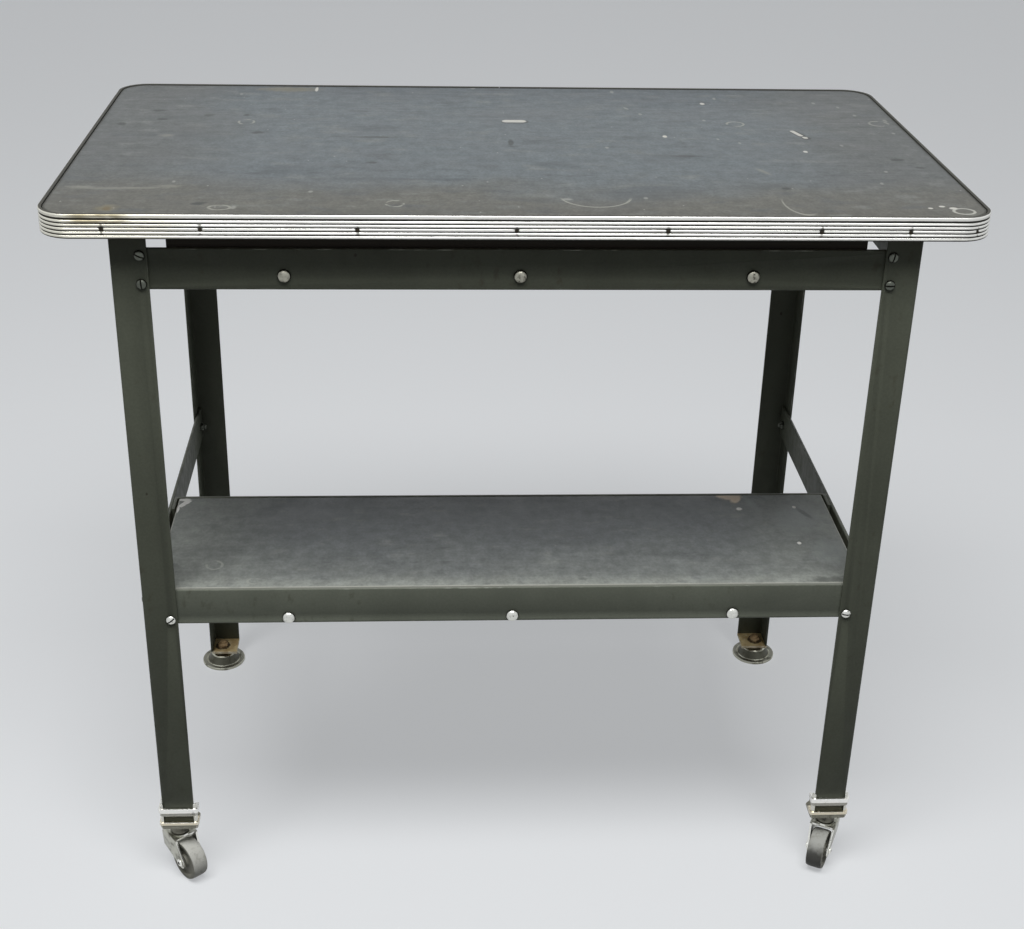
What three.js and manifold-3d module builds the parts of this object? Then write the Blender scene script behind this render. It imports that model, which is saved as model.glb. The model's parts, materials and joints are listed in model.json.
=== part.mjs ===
// Typewriter table: a linoleum top with a ribbed aluminium edge on a bolted angle-steel
// frame, with a half-depth shelf, two swivel casters in front and two bell glides behind.
// Millimetres, +Z up, X along the length, -Y towards the caster side, origin on the floor
// under the middle of the top.

import * as THREE from "three";
import { mergeVertices } from "three/addons/utils/BufferGeometryUtils.js";
import Module from "manifold-3d";

const wasm = await Module();
wasm.setup();

// Clearances
const FIT = 0.3; // between a cut piece and what passes through it
const END_GAP = 0.5; // between the end of a strip and the piece that it stops at

// Top
const TOP_LENGTH = 762;
const TOP_DEPTH = 432;
const TOP_HEIGHT = 672;
const TOP_CORNER = 28; // outer radius of the corners, over the trim
const TOP_OVERHANG_X = 53; // from the trim's outer face to the legs' outer faces
const TOP_OVERHANG_Y = 18.5;
const CORNER_STEPS = 6;
const CORE_THICKNESS = 16;
const LINOLEUM_THICKNESS = 3.2;
const LINOLEUM_GAP = 0.8; // open seam between the linoleum and the trim

// Ribbed edge trim
const TRIM_THICKNESS = 3;
const TRIM_PROUD = 0.8; // how far the trim stands above the linoleum
const TRIM_RIBS = 5; // ribs below the top bead
const TRIM_RIB_DEPTH = 1.1;
const TRIM_BEAD = 3.6; // height of the top bead
const TRIM_GROOVE = 1; // flat groove under the top bead
const TRIM_SEAM = 0.4; // butt joint in the middle of the rear edge

// Legs, bent from sheet into angles
const LEG_FLANGE = 30;
const LEG_SHEET = 2;
const LEG_BEND = 1.2; // inside radius of the bend

// Aprons, rails, battens and cleats
const STRIP_HEIGHT = 35;
const STRIP_SHEET = 3.2;
const STRIP_EDGE = 0.7; // chamfer of a strip's long edges
const APRON_DROP = 14; // slot between the top's underside and the aprons
const BATTEN_INSET = 45; // from the legs' outer faces to the ends of the battens
const BATTEN_THICKNESS = 19;
const WOOD_EDGE = 1.5;

// Shelf
const SHELF_HEIGHT = 322;
const SHELF_DEPTH = 178.5; // over the front and rear shelf rails
const SHELF_SIDE_GAP = 1.6; // between the board and the bent ends of the rear rail
const SHELF_CORE = 16;
const RAIL_TAB = 26; // bent ends of the rear shelf rail
const RAIL_BEND = 2; // inside radius of that bend
const CLEAT_THICKNESS = 20;
const CLEAT_INSET = 28; // from the legs' outer faces to the ends of the cleats

// Bolts
const BOLT_SHANK = 5;
const STRIP_BOLT = { head: 11.4, dome: 4 }; // through the aprons and the shelf rail
const LEG_BOLT = { head: 9, dome: 3.2 }; // through the legs, slotted
const BOLT_TAIL = 6; // length behind the clamped pieces, for the nut
const BOLT_SLOT = 1.3;
const BOLT_SLOT_DEPTH = 1.4;
const BOLT_SLOT_ANGLE = THREE.MathUtils.degToRad(36);
const APRON_BOLT_PITCH = 190.5;
const APRON_BOLT_RISE = 12; // above the apron's lower edge
const SHELF_BOLT_PITCH = 200;
const SHELF_BOLT_RISE = 6; // above the rail's lower edge
const LEG_BOLT_MARGIN = 6; // from the free edge of the leg
const LEG_BOLT_EDGE = 5.5; // from the apron's upper and lower edges
const SIDE_BOLT_INSET = 17;

// Caster sockets, pressed straps round the feet of the front legs
const FOOT_INSET_X = 12.5; // kingpins and glide stems, from the leg's outer faces
const FOOT_INSET_Y = 15.5;
const SOCKET_END_GAP = 1.2; // between the edges of the leg and the ends of the strap
const SOCKET_RETURN = 9.5; // depth of the hooked ends of the strap
const SOCKET_SHEET = 1.6;
const SOCKET_CORNER = 3;
const SOCKET_FLOOR = 2;
const SOCKET_CLIP = 14; // clipped inner corner of the floor, along each edge
const SOCKET_HEIGHT = 28.5; // to the tips of the raised corners
const SOCKET_LIP = 0.5; // how far the two bands stand out
const SOCKET_ROLL = 1.3; // how far the rolled upper edges of the bands stand out
const SOCKET_LOWER_BAND = 8;
const SOCKET_LOWER_ROLL = 3;
const SOCKET_UPPER_BAND = 13.2; // with the raised corners
const SOCKET_UPPER_ROLL = 4.7;
const SOCKET_EAR = 6.4; // width of the raised corners of the rim, over both of their faces
const SOCKET_EAR_RISE = 4.6;

// Casters
const WHEEL_DIAMETER = 39;
const WHEEL_WIDTH = 15.2;
const WHEEL_FACETS = 36;
const WHEEL_RIM = 4; // radial depth of the rim
const WHEEL_HUB = 12; // hub diameter
const WHEEL_RECESS = 2.4; // depth of the web below the rim's side
const WHEEL_EDGE = 1.2;
const WHEEL_SIDE_GAP = 1;
const CASTER_TRAIL = 14;
const AXLE_DIAMETER = 5;
const AXLE_HEAD = 7.6;
const AXLE_HEAD_DOME = 1.5;
const YOKE_SHEET = 2;
const YOKE_WHEEL_GAP = 3; // between the top of the wheel and the yoke's plate
const YOKE_PLATE_CORNER = 1;
const YOKE_EAR_RISE = 2.4; // the legs of the yoke stand above its plate
const YOKE_EAR_LENGTH = 12; // level part of the ears, from the back
const YOKE_EAR_CORNER = 4;
const YOKE_SHOULDER = 8; // where the back of the legs turns towards the axle, above the axle
const YOKE_CUP_WALL = 1.2; // raised ring round the race
const YOKE_CUP_HEIGHT = 1.6;
const YOKE_SPLAY = THREE.MathUtils.degToRad(4);
const YOKE_BACK = 13; // reach of the yoke behind the kingpin
const YOKE_FRONT = 11;
const YOKE_EYE = 6; // radius of the yoke's end round the axle
const KINGPIN_DIAMETER = 7;
const KINGPIN_HEAD = 11;
const KINGPIN_HEAD_HEIGHT = 2.2;
const RACE_DIAMETER = 17.4;
const RACE_HEIGHT = 16; // from the yoke's plate to the socket
const RACE_RIM = 3; // height of the race's upper flange
const CASTER_SWIVEL = {
  left: THREE.MathUtils.degToRad(40), // turned inwards from pointing to -Y
  right: THREE.MathUtils.degToRad(28),
};

// Rear feet
const FOOT_PLATE_THICKNESS = 3;
const FOOT_PLATE_CORNER = { left: 6, right: 1 }; // clipped outer corner, towards the front
const GLIDE_DIAMETER = 48.5;
const GLIDE_HEIGHT = 12.5;
const GLIDE_CROWN = 25; // diameter of the flat crown
const GLIDE_SHEET = 2;
const GLIDE_BRIM = 4.4; // width of the brim
const GLIDE_LIP = 3.4; // height of the brim
const GLIDE_LIP_ROUND = 1;
const GLIDE_CHANNEL = 1.2; // depth of the channel inside the brim
const GLIDE_SHOULDER = 1.2; // chamfer round the crown
const STEM_DIAMETER = 8;
const STEM_COLLAR = 15;
const STEM_COLLAR_HEIGHT = 4.5; // from the glide to the foot plate
const STEM_HEAD = 16; // flange inside the bell that carries it
const STEM_HEAD_HEIGHT = 3;
const STEM_TAIL = 2; // stem showing above the nut
const GLIDE_NUT = 13.5;
const GLIDE_NUT_HEIGHT = 4.5;

// Facets
const ROUND_STEPS = 14; // small turned pieces
const BOLT_STEPS = 10;
const GLIDE_STEPS = 24;
const BEND_STEPS = 3;
const EDGE_STEPS = 1; // long edges of strips and battens are chamfered
const EYE_STEPS = 10;
const DOME_STEPS = 3;
const RIB_STEPS = 4;
const MERGE_DISTANCE = 1e-4; // vertices nearer than this are one

// Levels and places that follow from the sizes above
const TRIM_HEIGHT = CORE_THICKNESS + LINOLEUM_THICKNESS + TRIM_PROUD;
const TOP_UNDERSIDE = TOP_HEIGHT - TRIM_HEIGHT;
const APRON_TOP = TOP_UNDERSIDE - APRON_DROP;
const APRON_BOTTOM = APRON_TOP - STRIP_HEIGHT;
const RAIL_BOTTOM = SHELF_HEIGHT - STRIP_HEIGHT;
const LEG_X = TOP_LENGTH / 2 - TOP_OVERHANG_X; // outer faces of the legs
const LEG_Y = TOP_DEPTH / 2 - TOP_OVERHANG_Y;
const STRIP_X = LEG_X - LEG_SHEET; // outer faces of the side strips
const STRIP_Y = LEG_Y - LEG_SHEET; // outer faces of the front and rear strips
const STRIP_END_X = STRIP_X - LEG_BEND - FIT; // ends of strips, clear of the bends in the legs
const STRIP_END_Y = STRIP_Y - LEG_BEND - FIT;
const INNER_X = STRIP_X - STRIP_SHEET;
const INNER_Y = STRIP_Y - STRIP_SHEET;
const FOOT_X = LEG_X - FOOT_INSET_X;
const FOOT_Y = LEG_Y - FOOT_INSET_Y;
const SHELF_UNDERSIDE = SHELF_HEIGHT - LINOLEUM_THICKNESS - SHELF_CORE;
const SHELF_BACK = SHELF_DEPTH - STRIP_Y; // rear face of the rear shelf rail
const AXLE_HEIGHT = (WHEEL_DIAMETER / 2) * Math.cos(Math.PI / WHEEL_FACETS);
const YOKE_PLATE_TOP = WHEEL_DIAMETER + YOKE_WHEEL_GAP + YOKE_SHEET;
const SOCKET_BASE = YOKE_PLATE_TOP + RACE_HEIGHT;
const SOCKET_TOP = SOCKET_BASE + SOCKET_HEIGHT;
const SOCKET_SIZE = LEG_FLANGE + FIT + SOCKET_END_GAP + 2 * SOCKET_SHEET;
const FRONT_LEG_BOTTOM = SOCKET_BASE + SOCKET_FLOOR;
const FOOT_PLATE_BOTTOM = GLIDE_HEIGHT + STEM_COLLAR_HEIGHT;
const REAR_LEG_BOTTOM = FOOT_PLATE_BOTTOM + FOOT_PLATE_THICKNESS; // the legs stand on the plates

// Finishes
const finish = (color, roughness, metalness) => ({ color, roughness, metalness });
const LINOLEUM = finish(0x596064, 0.6, 0);
const ALUMINIUM = finish(0xb7b9b3, 0.42, 0.9);
const PLYWOOD = finish(0x8a6f4c, 0.75, 0);
const BATTEN_WOOD = finish(0x4f4030, 0.8, 0);
const FRAME_PAINT = finish(0x4d5048, 0.5, 0.1);
const ZINC = finish(0xb9bbb4, 0.38, 0.9);
const PAINTED_BOLT = finish(0x55584f, 0.5, 0.2);
const NICKEL = finish(0xa2a39b, 0.4, 0.85);
const WHEEL_GREY = finish(0xa0a29b, 0.6, 0.1);
const RUST = finish(0x8c7250, 0.75, 0.4);
const GLIDE_STEEL = finish(0x74766c, 0.5, 0.8);

const table = new THREE.Group();

function add(name, geometry, look, parent = table) {
  const mesh = new THREE.Mesh(geometry, new THREE.MeshStandardMaterial(look));
  mesh.name = name;
  parent.add(mesh);
  return mesh;
}

// Boolean joins and cuts

function toSolid(geometry) {
  const bare = geometry.clone();
  bare.deleteAttribute("normal");
  bare.deleteAttribute("uv");
  const merged = mergeVertices(bare, MERGE_DISTANCE);
  const vertProperties = new Float32Array(merged.attributes.position.array);
  const triVerts = new Uint32Array(merged.index.array);
  return new wasm.Manifold(new wasm.Mesh({ numProp: 3, vertProperties, triVerts }));
}

function toGeometry(solid) {
  const mesh = solid.getMesh();
  const geometry = new THREE.BufferGeometry();
  geometry.setAttribute("position", new THREE.BufferAttribute(mesh.vertProperties, 3));
  geometry.setIndex(new THREE.BufferAttribute(mesh.triVerts, 1));
  geometry.computeVertexNormals();
  return geometry;
}

function cut(geometry, tools) {
  let solid = toSolid(geometry);
  for (const tool of tools) {
    solid = solid.subtract(toSolid(tool));
  }
  return toGeometry(solid);
}

function join(geometries) {
  let solid = toSolid(geometries[0]);
  for (const geometry of geometries.slice(1)) {
    solid = solid.add(toSolid(geometry));
  }
  return toGeometry(solid);
}

// Basic forms

function box(x0, x1, y0, y1, z0, z1) {
  const geometry = new THREE.BoxGeometry(x1 - x0, y1 - y0, z1 - z0);
  return geometry.translate((x0 + x1) / 2, (y0 + y1) / 2, (z0 + z1) / 2);
}

// Closed outline whose corners are rounded by the radius beside each point.
function outline(points) {
  const shape = new THREE.Shape();
  const count = points.length;
  for (let i = 0; i < count; i += 1) {
    const [x, y, radius] = points[i];
    const here = new THREE.Vector2(x, y);
    const back = new THREE.Vector2(...points[(i + count - 1) % count]);
    const next = new THREE.Vector2(...points[(i + 1) % count]);
    const from = here.clone().add(back.sub(here).setLength(radius));
    const to = here.clone().add(next.sub(here).setLength(radius));
    if (i === 0) {
      shape.moveTo(from.x, from.y);
    } else {
      shape.lineTo(from.x, from.y);
    }
    if (radius > 0) {
      shape.quadraticCurveTo(x, y, to.x, to.y);
    }
  }
  shape.closePath();
  return shape;
}

function rectangle(x0, x1, y0, y1, radius) {
  return outline([
    [x0, y0, radius],
    [x1, y0, radius],
    [x1, y1, radius],
    [x0, y1, radius],
  ]);
}

function extrude(shape, length, curveSegments = BEND_STEPS) {
  return new THREE.ExtrudeGeometry(shape, {
    depth: length,
    steps: 1,
    bevelEnabled: false,
    curveSegments,
  });
}

const AXIS = {
  x: new THREE.Vector3(1, 0, 0),
  y: new THREE.Vector3(0, 1, 0),
  z: new THREE.Vector3(0, 0, 1),
};

// Section drawn in (y, z), extruded along X.
function alongX(section, x0, x1) {
  const turn = new THREE.Matrix4().makeBasis(AXIS.y, AXIS.z, AXIS.x);
  return extrude(section, x1 - x0, EDGE_STEPS).applyMatrix4(turn).translate(x0, 0, 0);
}

// Section drawn in (z, x), extruded along Y.
function alongY(section, y0, y1) {
  const turn = new THREE.Matrix4().makeBasis(AXIS.z, AXIS.x, AXIS.y);
  return extrude(section, y1 - y0, EDGE_STEPS).applyMatrix4(turn).translate(0, y0, 0);
}

// Revolves a closed (radius, z) profile about Z.
function turned(profile, facets = ROUND_STEPS) {
  const points = profile.map(([radius, z]) => new THREE.Vector2(radius, z));
  return new THREE.LatheGeometry(points, facets).rotateX(Math.PI / 2);
}

function pin(diameter, z0, z1, facets = ROUND_STEPS) {
  const geometry = new THREE.CylinderGeometry(diameter / 2, diameter / 2, z1 - z0, facets);
  return geometry.rotateX(Math.PI / 2).translate(0, 0, (z0 + z1) / 2);
}

// Points of a domed end, from its rim at height z to the axis.
function dome(radius, z, height) {
  const points = [];
  for (let i = 0; i <= DOME_STEPS; i += 1) {
    const angle = (i / DOME_STEPS) * (Math.PI / 2);
    points.push([i === DOME_STEPS ? 0 : radius * Math.cos(angle), z + height * Math.sin(angle)]);
  }
  return points;
}

// Top: core, linoleum and edge trim

// Corner points of the top's outline, moved inwards by an offset.
function topLoop(offset) {
  const radius = TOP_CORNER - offset;
  const loop = [];
  for (let corner = 0; corner < 4; corner += 1) {
    const side = corner === 0 || corner === 3 ? 1 : -1;
    const end = corner < 2 ? 1 : -1;
    const x = side * (TOP_LENGTH / 2 - TOP_CORNER);
    const y = end * (TOP_DEPTH / 2 - TOP_CORNER);
    for (let step = 0; step <= CORNER_STEPS; step += 1) {
      const angle = (corner + step / CORNER_STEPS) * (Math.PI / 2);
      loop.push([x + radius * Math.cos(angle), y + radius * Math.sin(angle)]);
    }
  }
  return loop;
}

function topSheet(offset, z0, z1) {
  const shape = new THREE.Shape(topLoop(offset).map(([x, y]) => new THREE.Vector2(x, y)));
  return extrude(shape, z1 - z0).translate(0, 0, z0);
}

// Section of the trim as (offset from the outermost face, z), anticlockwise seen along it.
function trimSection() {
  const ribPitch = (TRIM_HEIGHT - TRIM_BEAD - TRIM_GROOVE) / TRIM_RIBS;
  const section = [[TRIM_THICKNESS, TOP_UNDERSIDE]];
  const addRib = (z0, height) => {
    for (let step = 0; step <= RIB_STEPS; step += 1) {
      const angle = (step / RIB_STEPS) * Math.PI;
      const offset = TRIM_RIB_DEPTH * (1 - Math.sin(angle));
      section.push([offset, z0 + (height / 2) * (1 - Math.cos(angle))]);
    }
  };
  for (let rib = 0; rib < TRIM_RIBS; rib += 1) {
    addRib(TOP_UNDERSIDE + rib * ribPitch, ribPitch);
    if (rib < TRIM_RIBS - 1) {
      section.pop();
    }
  }
  addRib(TOP_HEIGHT - TRIM_BEAD, TRIM_BEAD);
  section.push([TRIM_THICKNESS, TOP_HEIGHT]);
  return section;
}

// Ring lofted through the top's outline at each point of the section.
function trimRing() {
  const section = trimSection();
  const loops = section.map(([offset]) => topLoop(offset));
  const around = loops[0].length;
  const positions = [];
  section.forEach(([, z], i) => loops[i].forEach(([x, y]) => positions.push(x, y, z)));
  const index = [];
  for (let i = 0; i < section.length; i += 1) {
    const up = (i + 1) % section.length;
    for (let j = 0; j < around; j += 1) {
      const next = (j + 1) % around;
      const corners = [i * around + j, i * around + next, up * around + next, up * around + j];
      index.push(corners[0], corners[1], corners[2], corners[0], corners[2], corners[3]);
    }
  }
  const geometry = new THREE.BufferGeometry();
  geometry.setAttribute("position", new THREE.Float32BufferAttribute(positions, 3));
  geometry.setIndex(index);
  geometry.computeVertexNormals();
  return geometry;
}

function addTop() {
  const linoleumBottom = TOP_UNDERSIDE + CORE_THICKNESS;
  const seamDepth = TRIM_THICKNESS + FIT;
  const rear = TOP_DEPTH / 2;
  const seam = box(
    -TRIM_SEAM / 2,
    TRIM_SEAM / 2,
    rear - seamDepth,
    rear + FIT,
    TOP_UNDERSIDE - FIT,
    TOP_HEIGHT + FIT,
  );
  const core = topSheet(TRIM_THICKNESS + FIT, TOP_UNDERSIDE, linoleumBottom);
  const sheet = topSheet(TRIM_THICKNESS + LINOLEUM_GAP, linoleumBottom, TOP_HEIGHT - TRIM_PROUD);
  add("tabletop_core", core, PLYWOOD);
  add("tabletop_linoleum", sheet, LINOLEUM);
  add("edge_trim", cut(trimRing(), [seam]), ALUMINIUM);
}

// Bolts: a domed head with its shank behind it, seated on a face

const FACING = {
  front: { rotation: [Math.PI / 2, 0, 0] },
  rear: { rotation: [-Math.PI / 2, 0, 0] },
  left: { rotation: [0, -Math.PI / 2, 0] },
  right: { rotation: [0, Math.PI / 2, 0] },
};

function bolt(length, size, slotted) {
  const shank = BOLT_SHANK / 2;
  const cap = dome(size.head / 2, 0, size.dome);
  const plain = turned([[0, -length], [shank, -length], [shank, 0], ...cap], BOLT_STEPS);
  if (!slotted) {
    return plain;
  }
  const reach = size.head;
  const slotBottom = size.dome - BOLT_SLOT_DEPTH;
  const slot = box(-reach, reach, -BOLT_SLOT / 2, BOLT_SLOT / 2, slotBottom, size.dome + FIT);
  return cut(plain, [slot.rotateZ(BOLT_SLOT_ANGLE)]);
}

// Bore for a bolt: as long as the bolt on both sides of the face that it seats on.
function boltBore({ place, facing, length }) {
  const bore = pin(BOLT_SHANK + 2 * FIT, -length, length, BOLT_STEPS);
  const turn = new THREE.Euler(...FACING[facing].rotation);
  return bore.applyMatrix4(new THREE.Matrix4().makeRotationFromEuler(turn)).translate(...place);
}

function addBolts(bolts) {
  for (const { name, place, facing, length, size, slotted, look } of bolts) {
    const mesh = add(name, bolt(length, size, slotted), look);
    mesh.position.set(...place);
    mesh.rotation.set(...FACING[facing].rotation);
  }
}

const SIDES = { left: -1, right: 1 };
const THIRDS = { left: -1, middle: 0, right: 1 };

const APRON_BOLT_Z = APRON_BOTTOM + APRON_BOLT_RISE;
const SHELF_BOLT_Z = RAIL_BOTTOM + SHELF_BOLT_RISE;
const BATTEN_GRIP = STRIP_SHEET + BATTEN_THICKNESS + BOLT_TAIL;
const CLEAT_GRIP = STRIP_SHEET + CLEAT_THICKNESS + BOLT_TAIL;
const LEG_GRIP = LEG_SHEET + STRIP_SHEET + BOLT_TAIL;

const apronBolts = { front: [], rear: [] };
const shelfBolts = [];
for (const [third, step] of Object.entries(THIRDS)) {
  for (const [facing, sign] of [["front", -1], ["rear", 1]]) {
    apronBolts[facing].push({
      name: `${facing}_apron_bolt_${third}`,
      place: [step * APRON_BOLT_PITCH, sign * STRIP_Y, APRON_BOLT_Z],
      facing,
      length: BATTEN_GRIP,
      size: STRIP_BOLT,
      look: ZINC,
    });
  }
  shelfBolts.push({
    name: `shelf_rail_bolt_${third}`,
    place: [step * SHELF_BOLT_PITCH, -STRIP_Y, SHELF_BOLT_Z],
    facing: "front",
    length: CLEAT_GRIP,
    size: STRIP_BOLT,
    look: ZINC,
  });
}

const legApronBolts = [];
const legShelfBolts = [];
const sideRailBolts = [];
for (const [side, sign] of Object.entries(SIDES)) {
  const x = sign * (LEG_X - LEG_FLANGE + LEG_BOLT_MARGIN);
  for (const [row, z] of [["upper", APRON_TOP - LEG_BOLT_EDGE], ["lower", APRON_BOTTOM + LEG_BOLT_EDGE]]) {
    legApronBolts.push({
      name: `front_${side}_leg_bolt_${row}`,
      place: [x, -LEG_Y, z],
      facing: "front",
      length: LEG_GRIP,
      size: LEG_BOLT,
      slotted: true,
      look: PAINTED_BOLT,
    });
  }
  legShelfBolts.push({
    name: `front_${side}_leg_bolt_shelf`,
    place: [x, -LEG_Y, RAIL_BOTTOM + LEG_BOLT_EDGE],
    facing: "front",
    length: LEG_GRIP,
    size: LEG_BOLT,
    slotted: true,
    look: ZINC,
  });
  sideRailBolts.push({
    name: `${side}_side_rail_bolt`,
    place: [sign * LEG_X, LEG_Y - SIDE_BOLT_INSET, RAIL_BOTTOM + STRIP_HEIGHT / 2],
    facing: side,
    length: LEG_GRIP,
    size: LEG_BOLT,
    slotted: true,
    look: PAINTED_BOLT,
  });
}

// Legs

function legSection(signX, signY) {
  const bend = LEG_SHEET + LEG_BEND;
  const corners = [
    [0, 0, bend],
    [LEG_FLANGE, 0, 0],
    [LEG_FLANGE, LEG_SHEET, 0],
    [LEG_SHEET, LEG_SHEET, LEG_BEND],
    [LEG_SHEET, LEG_FLANGE, 0],
    [0, LEG_FLANGE, 0],
  ];
  return outline(corners.map(([u, v, radius]) => [signX * (LEG_X - u), signY * (LEG_Y - v), radius]));
}

function addLegs() {
  for (const [side, sign] of Object.entries(SIDES)) {
    const ofSide = ({ place }) => Math.sign(place[0]) === sign;
    const frontBores = [...legApronBolts, ...legShelfBolts].filter(ofSide).map(boltBore);
    const rearBores = sideRailBolts.filter(ofSide).map(boltBore);
    const front = extrude(legSection(sign, -1), TOP_UNDERSIDE - FRONT_LEG_BOTTOM);
    const rear = extrude(legSection(sign, 1), TOP_UNDERSIDE - REAR_LEG_BOTTOM);
    add(`front_${side}_leg`, cut(front.translate(0, 0, FRONT_LEG_BOTTOM), frontBores), FRAME_PAINT);
    add(`rear_${side}_leg`, cut(rear.translate(0, 0, REAR_LEG_BOTTOM), rearBores), FRAME_PAINT);
  }
}

// Aprons, battens and rails

function stripAlongX(yFace, inwards, z0, x0, x1) {
  const yInner = yFace + inwards * STRIP_SHEET;
  const section = rectangle(
    Math.min(yFace, yInner),
    Math.max(yFace, yInner),
    z0,
    z0 + STRIP_HEIGHT,
    STRIP_EDGE,
  );
  return alongX(section, x0, x1);
}

function stripAlongY(sign, z0, y0, y1) {
  const xs = [sign * STRIP_X, sign * INNER_X].sort((a, b) => a - b);
  return alongY(rectangle(z0, z0 + STRIP_HEIGHT, xs[0], xs[1], STRIP_EDGE), y0, y1);
}

function addAprons() {
  const sideReach = INNER_Y - END_GAP;
  const front = stripAlongX(-STRIP_Y, 1, APRON_BOTTOM, -STRIP_END_X, STRIP_END_X);
  const rear = stripAlongX(STRIP_Y, -1, APRON_BOTTOM, -STRIP_END_X, STRIP_END_X);
  const frontBores = [...apronBolts.front, ...legApronBolts].map(boltBore);
  add("front_apron", cut(front, frontBores), FRAME_PAINT);
  add("rear_apron", cut(rear, apronBolts.rear.map(boltBore)), FRAME_PAINT);
  for (const [side, sign] of Object.entries(SIDES)) {
    add(`${side}_apron`, stripAlongY(sign, APRON_BOTTOM, -sideReach, sideReach), FRAME_PAINT);
  }
  const half = LEG_X - BATTEN_INSET;
  for (const [facing, sign] of [["front", -1], ["rear", 1]]) {
    const ys = [sign * INNER_Y, sign * (INNER_Y - BATTEN_THICKNESS)].sort((a, b) => a - b);
    const section = rectangle(ys[0], ys[1], APRON_BOTTOM, TOP_UNDERSIDE, WOOD_EDGE);
    const batten = cut(alongX(section, -half, half), apronBolts[facing].map(boltBore));
    add(`${facing}_top_batten`, batten, BATTEN_WOOD);
  }
}

// Rear shelf rail: a strip whose ends are bent forwards along the side rails.
function rearRailSection() {
  const outerX = INNER_X;
  const innerX = outerX - STRIP_SHEET;
  const backY = SHELF_BACK;
  const frontY = backY - STRIP_SHEET;
  const tabY = backY - RAIL_TAB;
  const outerBend = RAIL_BEND + STRIP_SHEET;
  return outline([
    [-outerX, backY, outerBend],
    [-outerX, tabY, 0],
    [-innerX, tabY, 0],
    [-innerX, frontY, RAIL_BEND],
    [innerX, frontY, RAIL_BEND],
    [innerX, tabY, 0],
    [outerX, tabY, 0],
    [outerX, backY, outerBend],
  ]);
}

function addLowerFrame() {
  const frontRail = stripAlongX(-STRIP_Y, 1, RAIL_BOTTOM, -STRIP_END_X, STRIP_END_X);
  const frontBores = [...shelfBolts, ...legShelfBolts].map(boltBore);
  add("shelf_front_rail", cut(frontRail, frontBores), FRAME_PAINT);
  const rearRail = extrude(rearRailSection(), STRIP_HEIGHT).translate(0, 0, RAIL_BOTTOM);
  add("shelf_rear_rail", rearRail, FRAME_PAINT);
  for (const [side, sign] of Object.entries(SIDES)) {
    const rail = stripAlongY(sign, RAIL_BOTTOM, -INNER_Y + END_GAP, STRIP_END_Y);
    const bores = sideRailBolts.filter(({ facing }) => facing === side).map(boltBore);
    add(`${side}_side_rail`, cut(rail, bores), FRAME_PAINT);
  }
}

// Shelf

function addShelf() {
  const half = INNER_X - STRIP_SHEET - SHELF_SIDE_GAP;
  const front = -INNER_Y + FIT;
  const back = SHELF_BACK - STRIP_SHEET - FIT;
  const coreTop = SHELF_UNDERSIDE + SHELF_CORE;
  // The board's rear corners are rounded to clear the bends of the rear rail.
  const corner = RAIL_BEND + FIT;
  const board = outline([
    [-half, front, 0],
    [half, front, 0],
    [half, back, corner],
    [-half, back, corner],
  ]);
  add("shelf_board", extrude(board, SHELF_CORE).translate(0, 0, SHELF_UNDERSIDE), PLYWOOD);
  add("shelf_linoleum", extrude(board, LINOLEUM_THICKNESS).translate(0, 0, coreTop), LINOLEUM);
  const cleatHalf = LEG_X - CLEAT_INSET;
  const frontCleat = rectangle(
    -INNER_Y,
    -INNER_Y + CLEAT_THICKNESS,
    RAIL_BOTTOM,
    SHELF_UNDERSIDE,
    WOOD_EDGE,
  );
  const rearFace = SHELF_BACK - STRIP_SHEET;
  const rearCleat = rectangle(
    rearFace - CLEAT_THICKNESS,
    rearFace,
    RAIL_BOTTOM,
    SHELF_UNDERSIDE,
    WOOD_EDGE,
  );
  const drilled = cut(alongX(frontCleat, -cleatHalf, cleatHalf), shelfBolts.map(boltBore));
  add("shelf_front_cleat", drilled, BATTEN_WOOD);
  add("shelf_rear_cleat", alongX(rearCleat, -cleatHalf, cleatHalf), BATTEN_WOOD);
}

// Rear feet

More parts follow.
